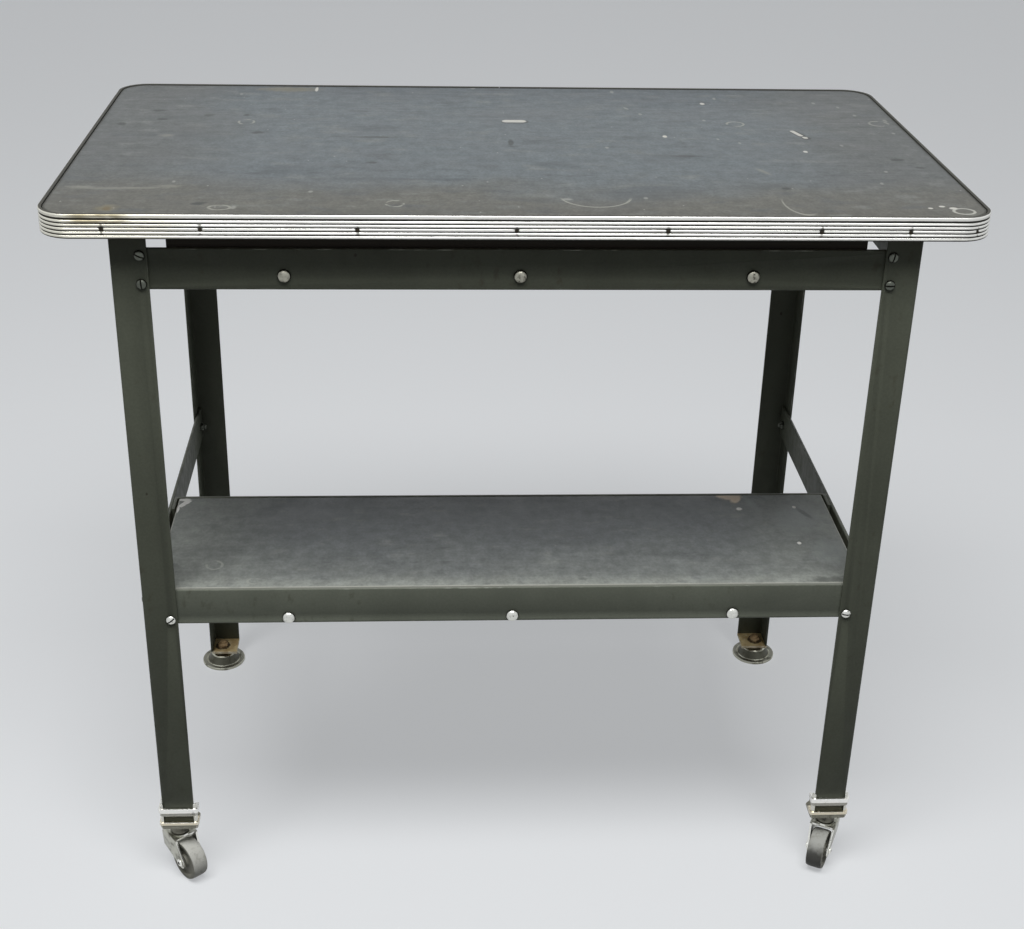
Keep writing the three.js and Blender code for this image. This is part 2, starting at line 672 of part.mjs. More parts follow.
function addRearFoot(side, sign) {
  const plateTop = REAR_LEG_BOTTOM;
  const nutTop = plateTop + GLIDE_NUT_HEIGHT;
  const xOuter = sign * LEG_X;
  const xInner = sign * (LEG_X - LEG_FLANGE);
  const yFront = LEG_Y - LEG_FLANGE;
  const square = outline([
    [xOuter, LEG_Y, LEG_SHEET + LEG_BEND],
    [xInner, LEG_Y, 0],
    [xInner, yFront, 0],
    [xOuter, yFront, FOOT_PLATE_CORNER[side]],
  ]);
  const stemBore = pin(STEM_DIAMETER + 2 * FIT, 0, nutTop).translate(sign * FOOT_X, FOOT_Y, 0);
  const plate = extrude(square, FOOT_PLATE_THICKNESS).translate(0, 0, FOOT_PLATE_BOTTOM);
  add(`rear_${side}_foot_plate`, cut(plate, [stemBore]), RUST);

  const foot = new THREE.Group();
  foot.position.set(sign * FOOT_X, FOOT_Y, 0);
  table.add(foot);
  const stem = STEM_DIAMETER / 2;
  const bore = stem + FIT;
  const crown = GLIDE_CROWN / 2;
  const rim = GLIDE_DIAMETER / 2;
  const ceiling = GLIDE_HEIGHT - GLIDE_SHEET;
  const headTop = ceiling - FIT;
  const stemProfile = [
    [0, headTop - STEM_HEAD_HEIGHT],
    [STEM_HEAD / 2, headTop - STEM_HEAD_HEIGHT],
    [STEM_HEAD / 2, headTop],
    [stem, headTop],
    [stem, GLIDE_HEIGHT + FIT],
    [STEM_COLLAR / 2, GLIDE_HEIGHT + FIT],
    [STEM_COLLAR / 2, FOOT_PLATE_BOTTOM],
    [stem, FOOT_PLATE_BOTTOM],
    [stem, nutTop + STEM_TAIL / 2],
    ...dome(stem, nutTop + STEM_TAIL / 2, STEM_TAIL / 2),
  ];
  add(`rear_${side}_glide_stem`, turned(stemProfile), RUST, foot);

  const nut = GLIDE_NUT / 2;
  const nutProfile = [[bore, plateTop], [nut, plateTop]];
  for (const [radius, z] of dome(nut, plateTop + GLIDE_NUT_HEIGHT / 2, GLIDE_NUT_HEIGHT / 2)) {
    if (radius > bore) {
      nutProfile.push([radius, z]);
    }
  }
  nutProfile.push([bore, nutTop], [bore, plateTop]);
  add(`rear_${side}_glide_nut`, turned(nutProfile), RUST, foot);

  const wallFoot = rim - GLIDE_BRIM - GLIDE_LIP_ROUND;
  const bell = [
    [rim, 0],
    [rim, GLIDE_LIP - GLIDE_LIP_ROUND],
    [rim - GLIDE_LIP_ROUND, GLIDE_LIP],
    [rim - GLIDE_BRIM, GLIDE_LIP],
    [wallFoot, GLIDE_LIP - GLIDE_CHANNEL],
    [crown + GLIDE_SHOULDER, GLIDE_HEIGHT - GLIDE_SHOULDER],
    [crown, GLIDE_HEIGHT],
    [bore, GLIDE_HEIGHT],
    [bore, ceiling],
    [crown - GLIDE_SHOULDER, ceiling],
    [wallFoot - GLIDE_SHOULDER, GLIDE_LIP - GLIDE_CHANNEL - GLIDE_SHOULDER],
    [rim - GLIDE_SHEET, 0],
    [rim, 0],
  ];
  add(`rear_${side}_glide`, turned(bell, GLIDE_STEPS), GLIDE_STEEL, foot);
}

// Casters

function socketGeometry(sign) {
  const wall = SOCKET_SHEET;
  const outer = { x: sign * (LEG_X + FIT + wall), y: -(LEG_Y + FIT + wall) };
  const centreX = outer.x - (sign * SOCKET_SIZE) / 2;
  const centreY = outer.y + SOCKET_SIZE / 2;
  const rim = SOCKET_TOP - SOCKET_EAR_RISE;
  const block = (grow, z0, z1) => {
    const half = SOCKET_SIZE / 2 + grow;
    const corner = SOCKET_CORNER + Math.min(grow, 0);
    const shape = rectangle(centreX - half, centreX + half, centreY - half, centreY + half, corner);
    return extrude(shape, z1 - z0).translate(0, 0, z0);
  };
  const windowTop = SOCKET_TOP - SOCKET_UPPER_BAND;
  const windowBottom = SOCKET_BASE + SOCKET_LOWER_BAND;
  const body = join([
    block(0, SOCKET_BASE, SOCKET_TOP),
    block(SOCKET_LIP, SOCKET_BASE + SOCKET_FLOOR, windowBottom),
    block(SOCKET_ROLL, windowBottom - SOCKET_LOWER_ROLL, windowBottom),
    block(SOCKET_LIP, windowTop, rim),
    block(SOCKET_ROLL, rim - SOCKET_UPPER_ROLL, rim),
  ]);
  const reach = SOCKET_SIZE / 2 + SOCKET_ROLL + FIT;
  const opening = SOCKET_SIZE / 2 - SOCKET_EAR / 2;
  const crossing = (half, z0, z1) => [
    box(centreX - reach, centreX + reach, centreY - half, centreY + half, z0, z1),
    box(centreX - half, centreX + half, centreY - reach, centreY + reach, z0, z1),
  ];
  // The strap stops at its hooked ends: nothing stands at the inner corner of the floor.
  const hook = outer.x - sign * SOCKET_RETURN;
  const beyond = centreX - sign * reach;
  const inside = box(
    Math.min(hook, beyond),
    Math.max(hook, beyond),
    outer.y + SOCKET_RETURN,
    centreY + reach,
    FRONT_LEG_BOTTOM,
    SOCKET_TOP + FIT,
  );
  const clip = SOCKET_CLIP / Math.SQRT2;
  const clipped = box(-clip, clip, -clip, clip, SOCKET_BASE - FIT, FRONT_LEG_BOTTOM + FIT);
  clipped.rotateZ(Math.PI / 4).translate(outer.x - sign * SOCKET_SIZE, outer.y + SOCKET_SIZE, 0);
  return cut(body, [
    block(-wall, FRONT_LEG_BOTTOM, SOCKET_TOP + FIT),
    inside,
    clipped,
    ...crossing(opening, windowBottom, windowTop),
    ...crossing(opening, rim, SOCKET_TOP + FIT),
    pin(KINGPIN_DIAMETER + 2 * FIT, 0, SOCKET_TOP).translate(sign * FOOT_X, -FOOT_Y, 0),
  ]);
}

// Angle at which a line from a point touches a circle, on one side of it.
function tangentAngle(point, centre, radius, side) {
  const arm = point.clone().sub(centre);
  return arm.angle() + side * Math.acos(radius / arm.length());
}

// Distance from the middle of the wheel to the underside of an axle head, on a splayed leg.
function axleSeat() {
  const halfGap = WHEEL_WIDTH / 2 + WHEEL_SIDE_GAP;
  const lean = Math.tan(YOKE_SPLAY) * (AXLE_HEAD / 2) + YOKE_SHEET / Math.cos(YOKE_SPLAY);
  return halfGap + lean + FIT;
}

// Yoke, with the wheel's travel along local +X and the axle along local Y.
function yokeGeometry() {
  const earTop = YOKE_PLATE_TOP + YOKE_EAR_RISE;
  const plateBottom = YOKE_PLATE_TOP - YOKE_SHEET;
  const halfGap = WHEEL_WIDTH / 2 + WHEEL_SIDE_GAP;
  const eye = new THREE.Vector2(CASTER_TRAIL, AXLE_HEIGHT);
  const shoulder = new THREE.Vector2(-YOKE_BACK, AXLE_HEIGHT + YOKE_SHOULDER);
  const throat = new THREE.Vector2(YOKE_FRONT, plateBottom);
  const leg = new THREE.Shape();
  leg.moveTo(-YOKE_BACK, earTop - YOKE_EAR_CORNER);
  leg.lineTo(shoulder.x, shoulder.y);
  const start = tangentAngle(shoulder, eye, YOKE_EYE, 1);
  const end = tangentAngle(throat, eye, YOKE_EYE, -1);
  leg.absarc(eye.x, eye.y, YOKE_EYE, start, end + 2 * Math.PI, false);
  leg.lineTo(throat.x, throat.y);
  leg.lineTo(YOKE_FRONT, YOKE_PLATE_TOP);
  leg.lineTo(YOKE_EAR_LENGTH - YOKE_BACK, earTop);
  leg.lineTo(YOKE_EAR_CORNER - YOKE_BACK, earTop);
  leg.quadraticCurveTo(-YOKE_BACK, earTop, -YOKE_BACK, earTop - YOKE_EAR_CORNER);
  // Local x stays, the sketch's second axis becomes Z and the sheet runs along Y.
  const stand = new THREE.Matrix4().makeBasis(AXIS.x, AXIS.z, AXIS.y.clone().negate());
  const legs = [-1, 1].map((side) => {
    const sheet = extrude(leg, YOKE_SHEET, EYE_STEPS).applyMatrix4(stand);
    const offset = side > 0 ? halfGap + YOKE_SHEET : -halfGap;
    sheet.translate(0, offset, -AXLE_HEIGHT);
    return sheet.rotateX(-side * YOKE_SPLAY).translate(0, 0, AXLE_HEIGHT);
  });
  const plateHalf = halfGap + Math.tan(YOKE_SPLAY) * (plateBottom - AXLE_HEIGHT) + YOKE_SHEET / 2;
  const plateFront = YOKE_FRONT - YOKE_SHEET / 2;
  const plateShape = rectangle(-YOKE_BACK, plateFront, -plateHalf, plateHalf, YOKE_PLATE_CORNER);
  const plate = extrude(plateShape, YOKE_SHEET).translate(0, 0, plateBottom);
  const cup = RACE_DIAMETER / 2 + FIT;
  const ring = turned([
    [cup, plateBottom],
    [cup + YOKE_CUP_WALL, plateBottom],
    [cup + YOKE_CUP_WALL, YOKE_PLATE_TOP + YOKE_CUP_HEIGHT],
    [cup, YOKE_PLATE_TOP + YOKE_CUP_HEIGHT],
    [cup, plateBottom],
  ]);
  const axleReach = axleSeat() + FIT;
  const axleBore = pin(AXLE_DIAMETER + 2 * FIT, -axleReach, axleReach);
  axleBore.rotateX(Math.PI / 2).translate(CASTER_TRAIL, 0, AXLE_HEIGHT);
  const pinBore = pin(KINGPIN_DIAMETER + 2 * FIT, plateBottom - FIT, YOKE_PLATE_TOP + FIT);
  return cut(join([...legs, plate, ring]), [axleBore, pinBore]);
}

function wheelGeometry() {
  const radius = WHEEL_DIAMETER / 2;
  const half = WHEEL_WIDTH / 2;
  const web = half - WHEEL_RECESS;
  const bore = AXLE_DIAMETER / 2 + FIT;
  const hub = WHEEL_HUB / 2;
  const rim = radius - WHEEL_RIM;
  const side = [
    [bore, half],
    [hub, half],
    [hub + WHEEL_EDGE, web],
    [rim - WHEEL_EDGE, web],
    [rim, half],
    [radius - WHEEL_EDGE, half],
    [radius, half - WHEEL_EDGE],
  ];
  const mirrored = side.map(([r, z]) => [r, -z]);
  return turned([...mirrored, ...side.reverse(), mirrored[0]], WHEEL_FACETS);
}

function axleGeometry() {
  const seat = axleSeat();
  const shank = AXLE_DIAMETER / 2;
  const top = dome(AXLE_HEAD / 2, seat, AXLE_HEAD_DOME);
  const bottom = top.map(([radius, z]) => [radius, -z]).reverse();
  return turned([...bottom, [shank, -seat], [shank, seat], ...top]);
}

function kingpinGeometry() {
  const shank = KINGPIN_DIAMETER / 2;
  const head = KINGPIN_HEAD / 2;
  const lowerSeat = YOKE_PLATE_TOP - YOKE_SHEET - FIT;
  const lower = dome(head, 0, KINGPIN_HEAD_HEIGHT).map(([radius, z]) => [radius, lowerSeat - z]);
  const upper = dome(head, FRONT_LEG_BOTTOM, KINGPIN_HEAD_HEIGHT);
  return turned([...lower.reverse(), [shank, lowerSeat], [shank, FRONT_LEG_BOTTOM], ...upper]);
}

function raceGeometry() {
  const bore = KINGPIN_DIAMETER / 2 + FIT;
  const rim = RACE_DIAMETER / 2;
  const bottom = YOKE_PLATE_TOP + FIT;
  const seat = rim - RACE_RIM / 2;
  const neck = (bore + seat) / 2;
  const waist = (bottom + SOCKET_BASE) / 2;
  return turned([
    [bore, bottom],
    [seat, bottom],
    [rim, bottom + RACE_RIM / 2],
    [rim, bottom + RACE_RIM],
    [neck, waist],
    [neck, SOCKET_BASE - RACE_RIM],
    [rim, SOCKET_BASE - RACE_RIM / 2],
    [rim, SOCKET_BASE],
    [bore, SOCKET_BASE],
    [bore, bottom],
  ]);
}

function addCaster(side, sign) {
  add(`front_${side}_caster_socket`, socketGeometry(sign), NICKEL);
  const swivel = new THREE.Group();
  swivel.position.set(sign * FOOT_X, -FOOT_Y, 0);
  table.add(swivel);
  add(`front_${side}_caster_race`, raceGeometry(), NICKEL, swivel);
  add(`front_${side}_caster_kingpin`, kingpinGeometry(), NICKEL, swivel);

  const turn = new THREE.Group();
  turn.rotation.z = -Math.PI / 2 - sign * CASTER_SWIVEL[side];
  swivel.add(turn);
  add(`front_${side}_caster_yoke`, yokeGeometry(), NICKEL, turn);

  const axis = new THREE.Group();
  axis.position.set(CASTER_TRAIL, 0, AXLE_HEIGHT);
  axis.rotation.x = Math.PI / 2;
  turn.add(axis);
  add(`front_${side}_caster_axle`, axleGeometry(), NICKEL, axis);
  const wheel = add(`front_${side}_caster_wheel`, wheelGeometry(), WHEEL_GREY, axis);
  wheel.rotation.z = Math.PI / WHEEL_FACETS; // stands on a flat of its tread
}

addTop();
addLegs();
addAprons();
addLowerFrame();
addShelf();
for (const [side, sign] of Object.entries(SIDES)) {
  addRearFoot(side, sign);
  addCaster(side, sign);
}
addBolts([
  ...apronBolts.front,
  ...apronBolts.rear,
  ...shelfBolts,
  ...legApronBolts,
  ...legShelfBolts,
  ...sideRailBolts,
]);

export default table;
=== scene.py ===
# Looks of a steel-framed typewriter table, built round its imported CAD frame. Sizes are in
# millimetres and become metres when a mesh is made. The axes are the CAD's: X along the
# top, -Y towards the caster side, Z up from the floor.

import json
import math

import bmesh
import bpy
from mathutils import Matrix, Vector


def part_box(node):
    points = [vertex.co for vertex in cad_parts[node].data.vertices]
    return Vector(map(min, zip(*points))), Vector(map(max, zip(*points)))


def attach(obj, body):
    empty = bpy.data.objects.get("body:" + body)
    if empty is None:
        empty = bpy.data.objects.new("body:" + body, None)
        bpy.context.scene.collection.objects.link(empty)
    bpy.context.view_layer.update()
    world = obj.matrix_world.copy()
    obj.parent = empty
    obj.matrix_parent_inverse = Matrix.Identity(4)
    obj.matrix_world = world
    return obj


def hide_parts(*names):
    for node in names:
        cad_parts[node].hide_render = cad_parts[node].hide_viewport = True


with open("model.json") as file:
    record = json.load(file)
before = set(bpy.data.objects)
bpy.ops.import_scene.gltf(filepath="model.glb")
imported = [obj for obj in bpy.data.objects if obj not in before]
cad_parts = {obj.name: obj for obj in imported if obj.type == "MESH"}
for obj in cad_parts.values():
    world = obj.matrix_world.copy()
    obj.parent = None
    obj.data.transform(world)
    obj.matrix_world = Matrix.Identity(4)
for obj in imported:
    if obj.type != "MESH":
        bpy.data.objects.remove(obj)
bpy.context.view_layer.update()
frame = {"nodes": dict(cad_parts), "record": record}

MM = 0.001
METRES = Matrix.Scale(MM, 4)
BODY_OF = {
    node: body
    for body, nodes in frame["record"]["behaviour"]["bodies"].items()
    for node in nodes
}
SIDES = {"left": -1, "right": 1}
ROUND_STEPS = 48
SMALL_STEPS = 32
WHEEL_STEPS = 64
WELD = 1e-7  # in metres
CAD_WELD = 2e-6
FLAT = 0.5  # in degrees, as are the angles from which edges look sharp
SHARP = 35
TRIM_SHARP = 60

# Top
TOP_LENGTH = 762
TOP_DEPTH = 432
TOP_CORNER = 28
CORNER_STEPS = 18
TRIM_THICKNESS = 3
TRIM_BEAD = 3.6
TRIM_GROOVE = 1
TRIM_RIBS = 5
TRIM_RIB_DEPTH = 1.1
TRIM_SEAM = 0.4
RIB_STEPS = 10
RIB_GRIME_AND_SHADE = 0.46  # share of a rib, from its foot, painted near-black: dirt, painted shade and a painted reflection of a dark floor
BEAD_GRIME_AND_SHADE = 0.3
GRIME_AND_SHADE_FADE = 0.15
RIB_CREST = 0.93  # where the dirt and painted shade of the groove above a rib starts
CREST_FADE = 0.06
CORE_INSET = TRIM_THICKNESS + 0.3
LINOLEUM_INSET = TRIM_THICKNESS + 0.8
SHEET_EDGE = 0.5

# Nails in the trim, as places along its front, side and rear edges
NAIL_RIB = 2  # counted up from the lowest rib
NAIL_RADIUS = 1.7
NAIL_LENGTH = 2.5
NAIL_STEPS = 14
NAIL_DIMPLE = 2.7
DIMPLE_DEPTH = 0.9
DIMPLE_STEPS = (-1, -0.7, -0.45, -0.2, 0, 0.2, 0.45, 0.7, 1)  # as shares of NAIL_DIMPLE
NAIL_GRIME_AND_SHADE = {0: 0.95, 1: 0.56}  # dirt and painted shade round a nail's dimple, by ribs away from it
NAILS_FRONT = (-328, -252, -130, -5, 115, 238, 310)
NAILS_REAR = (-322, -246, -122, 12, 130, 250, 316)
NAILS_SIDE = (-152, -64, 48, 140)
CORNER_NAIL_STEP = 13  # of CORNER_STEPS, on the front right corner

# Bolts, nuts and washers
BOLT_SHANK = 5
BOLT_TIP = 0.7
STRIP_BOLT = (11.4, 4)  # head diameter and height
LEG_BOLT = (9, 3.2)
HEAD_EDGE = 0.35
BOLT_SLOT = 1.3
BOLT_SLOT_DEPTH = 1.4
SLOT_ANGLES = {  # of the bolts that the photo shows
    "front_left_leg_bolt_upper": -25,
    "front_left_leg_bolt_lower": 95,
    "front_left_leg_bolt_shelf": 37,
    "front_right_leg_bolt_upper": 78,
    "front_right_leg_bolt_lower": 1,
    "front_right_leg_bolt_shelf": -4,
}
SLOT_ANGLE = 36  # of the others
BOLT_TAIL = 6
SHORT_TAIL = 4
THREAD_PITCH = 0.8
THREAD_DEPTH = 0.35
NUT_BORE = BOLT_SHANK / 2 + 0.05
NUT_FLATS = 8
NUT_HEIGHT = 3.4
NUT_CHAMFER = 0.5
WASHER_RADIUS = 5.4
WASHER_HEIGHT = 1
WASHER_EDGE = 0.2
RIVET_HEAD = 9
RIVET_DOME = 2.4

# Sheet steel frame
LEG_X = 328
LEG_Y = 197.5
LEG_SHEET = 2
STRIP_SHEET = 3.2
LEG_GRIP = LEG_SHEET + STRIP_SHEET
LEG_BOLT_INSET = 24  # from a leg's outer corner
SIDE_BOLT_INSET = 17
RAIL_MIDDLE = 304.5
TAB_RIVET_Y = -34
STEEL_EDGE = 0.45  # width of a broken edge, as are the next ones
WOOD_EDGE = 0.6
BOARD_EDGE = 0.5
LINOLEUM_ROLL = 1.2
PLATE_EDGE = 0.4
SOCKET_EDGE = 0.6
YOKE_EDGE = 0.8

# Rear feet
FOOT_X = 315.5
FOOT_Y = 182
GLIDE_RIM = 24.2
GLIDE_HEIGHT = 12.5
GLIDE_CROWN = 12.5
GLIDE_BORE = 4.3
GLIDE_SHEET = 2
GLIDE_LIP = 3.4
GLIDE_BRIM = 4.4
GLIDE_CHANNEL = 1.2
GLIDE_SHOULDER = 1.2
GLIDE_EDGE = 0.6
GLIDE_FOOT = GLIDE_RIM - GLIDE_BRIM - 1
STEM_RADIUS = 4
STEM_FLANGE = 8
FLANGE_LOW = 7.2
FLANGE_HIGH = 10.2
STEM_COLLAR = 7.5
COLLAR_LOW = 12.8
COLLAR_TOP = 17
PLATE_TOP = 20
GLIDE_NUT = 6.75
NUT_WALL = 1.8
NUT_TOP = 24.5

# Casters
RACE_BORE = 3.8
RACE_RIM = 8.7
RACE_WAIST = 5.5
KINGPIN_HEAD = 5.5
KINGPIN_DOME = 2.2
KINGPIN_SHANK = 3.5
WHEEL_RADIUS = 19.42
WHEEL_HALF = 7.6
WHEEL_RIM = 4
WHEEL_HUB = 6
WHEEL_RECESS = 2.4
WHEEL_CROWN = 0.5
WHEEL_EDGE = 0.8
TREAD_STEPS = 12
AXLE_BORE = 2.8
AXLE_SHANK = 2.5
AXLE_SEAT = 11.2
AXLE_HEAD = 3.8
AXLE_DOME = 1.5
AXLE_DIMPLE = 1.6
CASTER_SWIVEL = {"left": 40, "right": 28}


# Materials


def srgb(code):
    """Linear colour with alpha, from a hex code."""
    channels = [int(code[i : i + 2], 16) / 255 for i in (0, 2, 4)]
    linear = [c / 12.92 if c <= 0.04045 else ((c + 0.055) / 1.055) ** 2.4 for c in channels]
    return (*linear, 1.0)


def operator(kind, swapped=False):
    """A method of Mask that adds a Math node of that kind to its material."""

    def method(mask, other=0.0):
        pair = (other, mask) if swapped else (mask, other)
        return mask.look.math(kind, *pair)

    return method


class Mask:
    """A value at each point of a surface. Arithmetic with it adds nodes to its material, and
    first | second is the larger of two."""

    def __init__(self, look, socket):
        self.look = look
        self.socket = socket

    __add__ = operator("ADD")
    __radd__ = operator("ADD", True)
    __sub__ = operator("SUBTRACT")
    __rsub__ = operator("SUBTRACT", True)
    __mul__ = operator("MULTIPLY")
    __truediv__ = operator("DIVIDE")
    __or__ = operator("MAXIMUM")
    __abs__ = operator("ABSOLUTE")


class Finish:
    """A Principled material fed by procedural masks, which read places in millimetres."""

    def __init__(self, name, **constants):
        self.material = bpy.data.materials.new(name)
        self.material.use_nodes = True
        self.tree = self.material.node_tree
        self.surface = self.tree.nodes["Principled BSDF"]
        for socket, value in constants.items():
            self.surface.inputs[socket.replace("_", " ")].default_value = value
        metres = self.node("ShaderNodeTexCoord", {}, "Object")
        scale = {0: metres, "Scale": 1 / MM}
        self.place = self.node("ShaderNodeVectorMath", scale, operation="SCALE")
        self.plan = self.node("ShaderNodeMapping", {"Vector": self.place, "Scale": (1, 1, 0)})
        self.x, self.y, self.z = [
            self.node("ShaderNodeSeparateXYZ", {0: self.place}, axis) for axis in range(3)
        ]

    def node(self, kind, sockets, output=0, **settings):
        made = self.tree.nodes.new(kind)
        for name, value in settings.items():
            setattr(made, name, value)
        for key, value in sockets.items():
            if isinstance(value, Mask):
                self.tree.links.new(value.socket, made.inputs[key])
            else:
                made.inputs[key].default_value = value
        return Mask(self, made.outputs[output])

    def made(self, colour, normal, dull=None, shine=None):
        """The material, fed by its colour, bump, roughness and metal masks."""
        feeds = {"Base Color": colour, "Normal": normal, "Roughness": dull, "Metallic": shine}
        for name, mask in feeds.items():
            if mask:
                self.tree.links.new(mask.socket, self.surface.inputs[name])
        return self.material

    def math(self, operation, first, second=0.0):
        return self.node("ShaderNodeMath", {0: first, 1: second}, operation=operation)

    def most(self, masks):
        """The largest of several masks at each point."""
        total = 0.0
        for mask in masks:
            total = self.math("MAXIMUM", total, mask)
        return total

    def ramp(self, value, low, high, start=0.0, end=1.0):
        """Eases from start, where value is low, to end, where it is high."""
        sockets = {"Value": value, "From Min": low, "From Max": high, "To Min": start, "To Max": end}
        return self.node("ShaderNodeMapRange", sockets, interpolation_type="SMOOTHSTEP")

    def scaled(self, size, seed):
        """Places in units of a size along x, y and z, moved by a seed."""
        scale = [1 / s for s in size]
        sockets = {"Vector": self.place, "Location": (seed, seed, seed), "Scale": scale}
        return self.node("ShaderNodeMapping", sockets)

    def noise(self, size, detail=3.0, seed=0.0, roughness=0.55):
        """Noise from 0 to 1 with features of about that size along x, y and z."""
        sockets = {
            "Vector": self.scaled(size, seed),
            "Scale": 1.0,
            "Detail": detail,
            "Roughness": roughness,
        }
        return self.node("ShaderNodeTexNoise", sockets)

    def centred(self, noise, amount):
        """A noise moved to lie round 0, times an amount."""
        return (noise - 0.5) * amount

    def flecks(self, cell, radius, share, seed):
        """Mask of scattered specks: some cells of a Voronoi pattern hold one."""
        sockets = {"Vector": self.scaled(cell, seed), "Scale": 1.0}
        distance = self.node("ShaderNodeTexVoronoi", sockets, "Distance")
        cell_colour = self.node("ShaderNodeTexVoronoi", sockets, "Color")
        draw = self.node("ShaderNodeSeparateColor", {0: cell_colour})
        chosen = self.ramp(draw, 1 - share, 1 - share + 0.01)
        return self.ramp(distance, radius, radius * 0.5) * chosen

    def mix(self, factor, first, second):
        sockets = {0: factor, 6: first, 7: second}
        return self.node("ShaderNodeMix", sockets, 2, data_type="RGBA")

    def layers(self, colour, coats):
        """The colour under several coats, each (mask, strength, hex code)."""
        for mask, strength, code in coats:
            colour = self.mix(mask * strength, colour, srgb(code))
        return colour

    def tint(self, colour, *shades):
        """The colour, darkened or lightened by shades, each (noise, least and most times)."""
        for noise, low, high in shades:
            sockets = {"Color": colour, "Value": self.ramp(noise, 0.25, 0.75, low, high)}
            colour = self.node("ShaderNodeHueSaturation", sockets)
        return colour

    def hypot(self, first, second):
        return self.math("SQRT", first * first + second * second)

    def along(self, x, y, angle):
        """Distances along and across a line on a level surface, from a place on it."""
        turn = math.radians(angle)
        away = {0: self.plan, 1: (x, y, 0)}
        offset = self.node("ShaderNodeVectorMath", away, operation="SUBTRACT")
        lines = [(math.cos(turn), math.sin(turn), 0), (-math.sin(turn), math.cos(turn), 0)]
        return [
            self.node("ShaderNodeVectorMath", {0: offset, 1: line}, 1, operation="DOT_PRODUCT")
            for line in lines
        ]

    def reach(self, x, y, length, width, angle=0):
        """Distance from a place on a level surface, 1 on an ellipse round it."""
        along, across = self.along(x, y, angle)
        return self.hypot(along / length, across / width)

    # A spot, bar or ring is (x, y, half length, half width) and may end with an angle.

    def blots(self, spots, ragged, soft):
        """Mask of ragged spots."""
        return self.most(
            self.ramp(self.reach(*spot) + ragged, 1 + soft, 1 - soft) for spot in spots
        )

    def rings(self, rings, ragged, width):
        """Mask of worn ring marks."""
        return self.most(
            self.ramp(abs(self.reach(*ring) - 1.0) + ragged, width, width * 0.4) for ring in rings
        )

    def bars(self, bars, grown=0.0):
        """Mask of bars with round ends."""

        def mask(x, y, length, width, angle=0):
            along, across = self.along(x, y, angle)
            over = abs(along) - (length - width)
            distance = self.hypot(over | 0.0, across)
            return self.ramp(distance, width * 1.2 + grown, width * 0.8 + grown)

        return self.most(mask(*bar) for bar in bars)

    def bump(self, height, depth):
        return self.node("ShaderNodeBump", {"Distance": depth * MM, "Height": height})

    def attribute(self, name):
        return self.node("ShaderNodeAttribute", {}, "Fac", attribute_name=name)

    def facing_up(self):
        """1 on faces that look up, 0 on walls."""
        normal = self.node("ShaderNodeNewGeometry", {}, "Normal")
        return self.ramp(self.node("ShaderNodeSeparateXYZ", {0: normal}, 2), 0.6, 0.9)

    def within(self, value, low, high, soft):
        """1 where a value lies between low and high, easing to 0 outside."""
        return self.ramp(value, low - soft, low) * self.ramp(value, high + soft, high)

    def edge_gap(self, half_length, half_depth, corner):
        """Distance from the rounded edge of a level sheet, negative inside it."""
        over_x = abs(self.x) - (half_length - corner)
        over_y = abs(self.y) - (half_depth - corner)
        return self.hypot(over_x | 0.0, over_y | 0.0) - corner


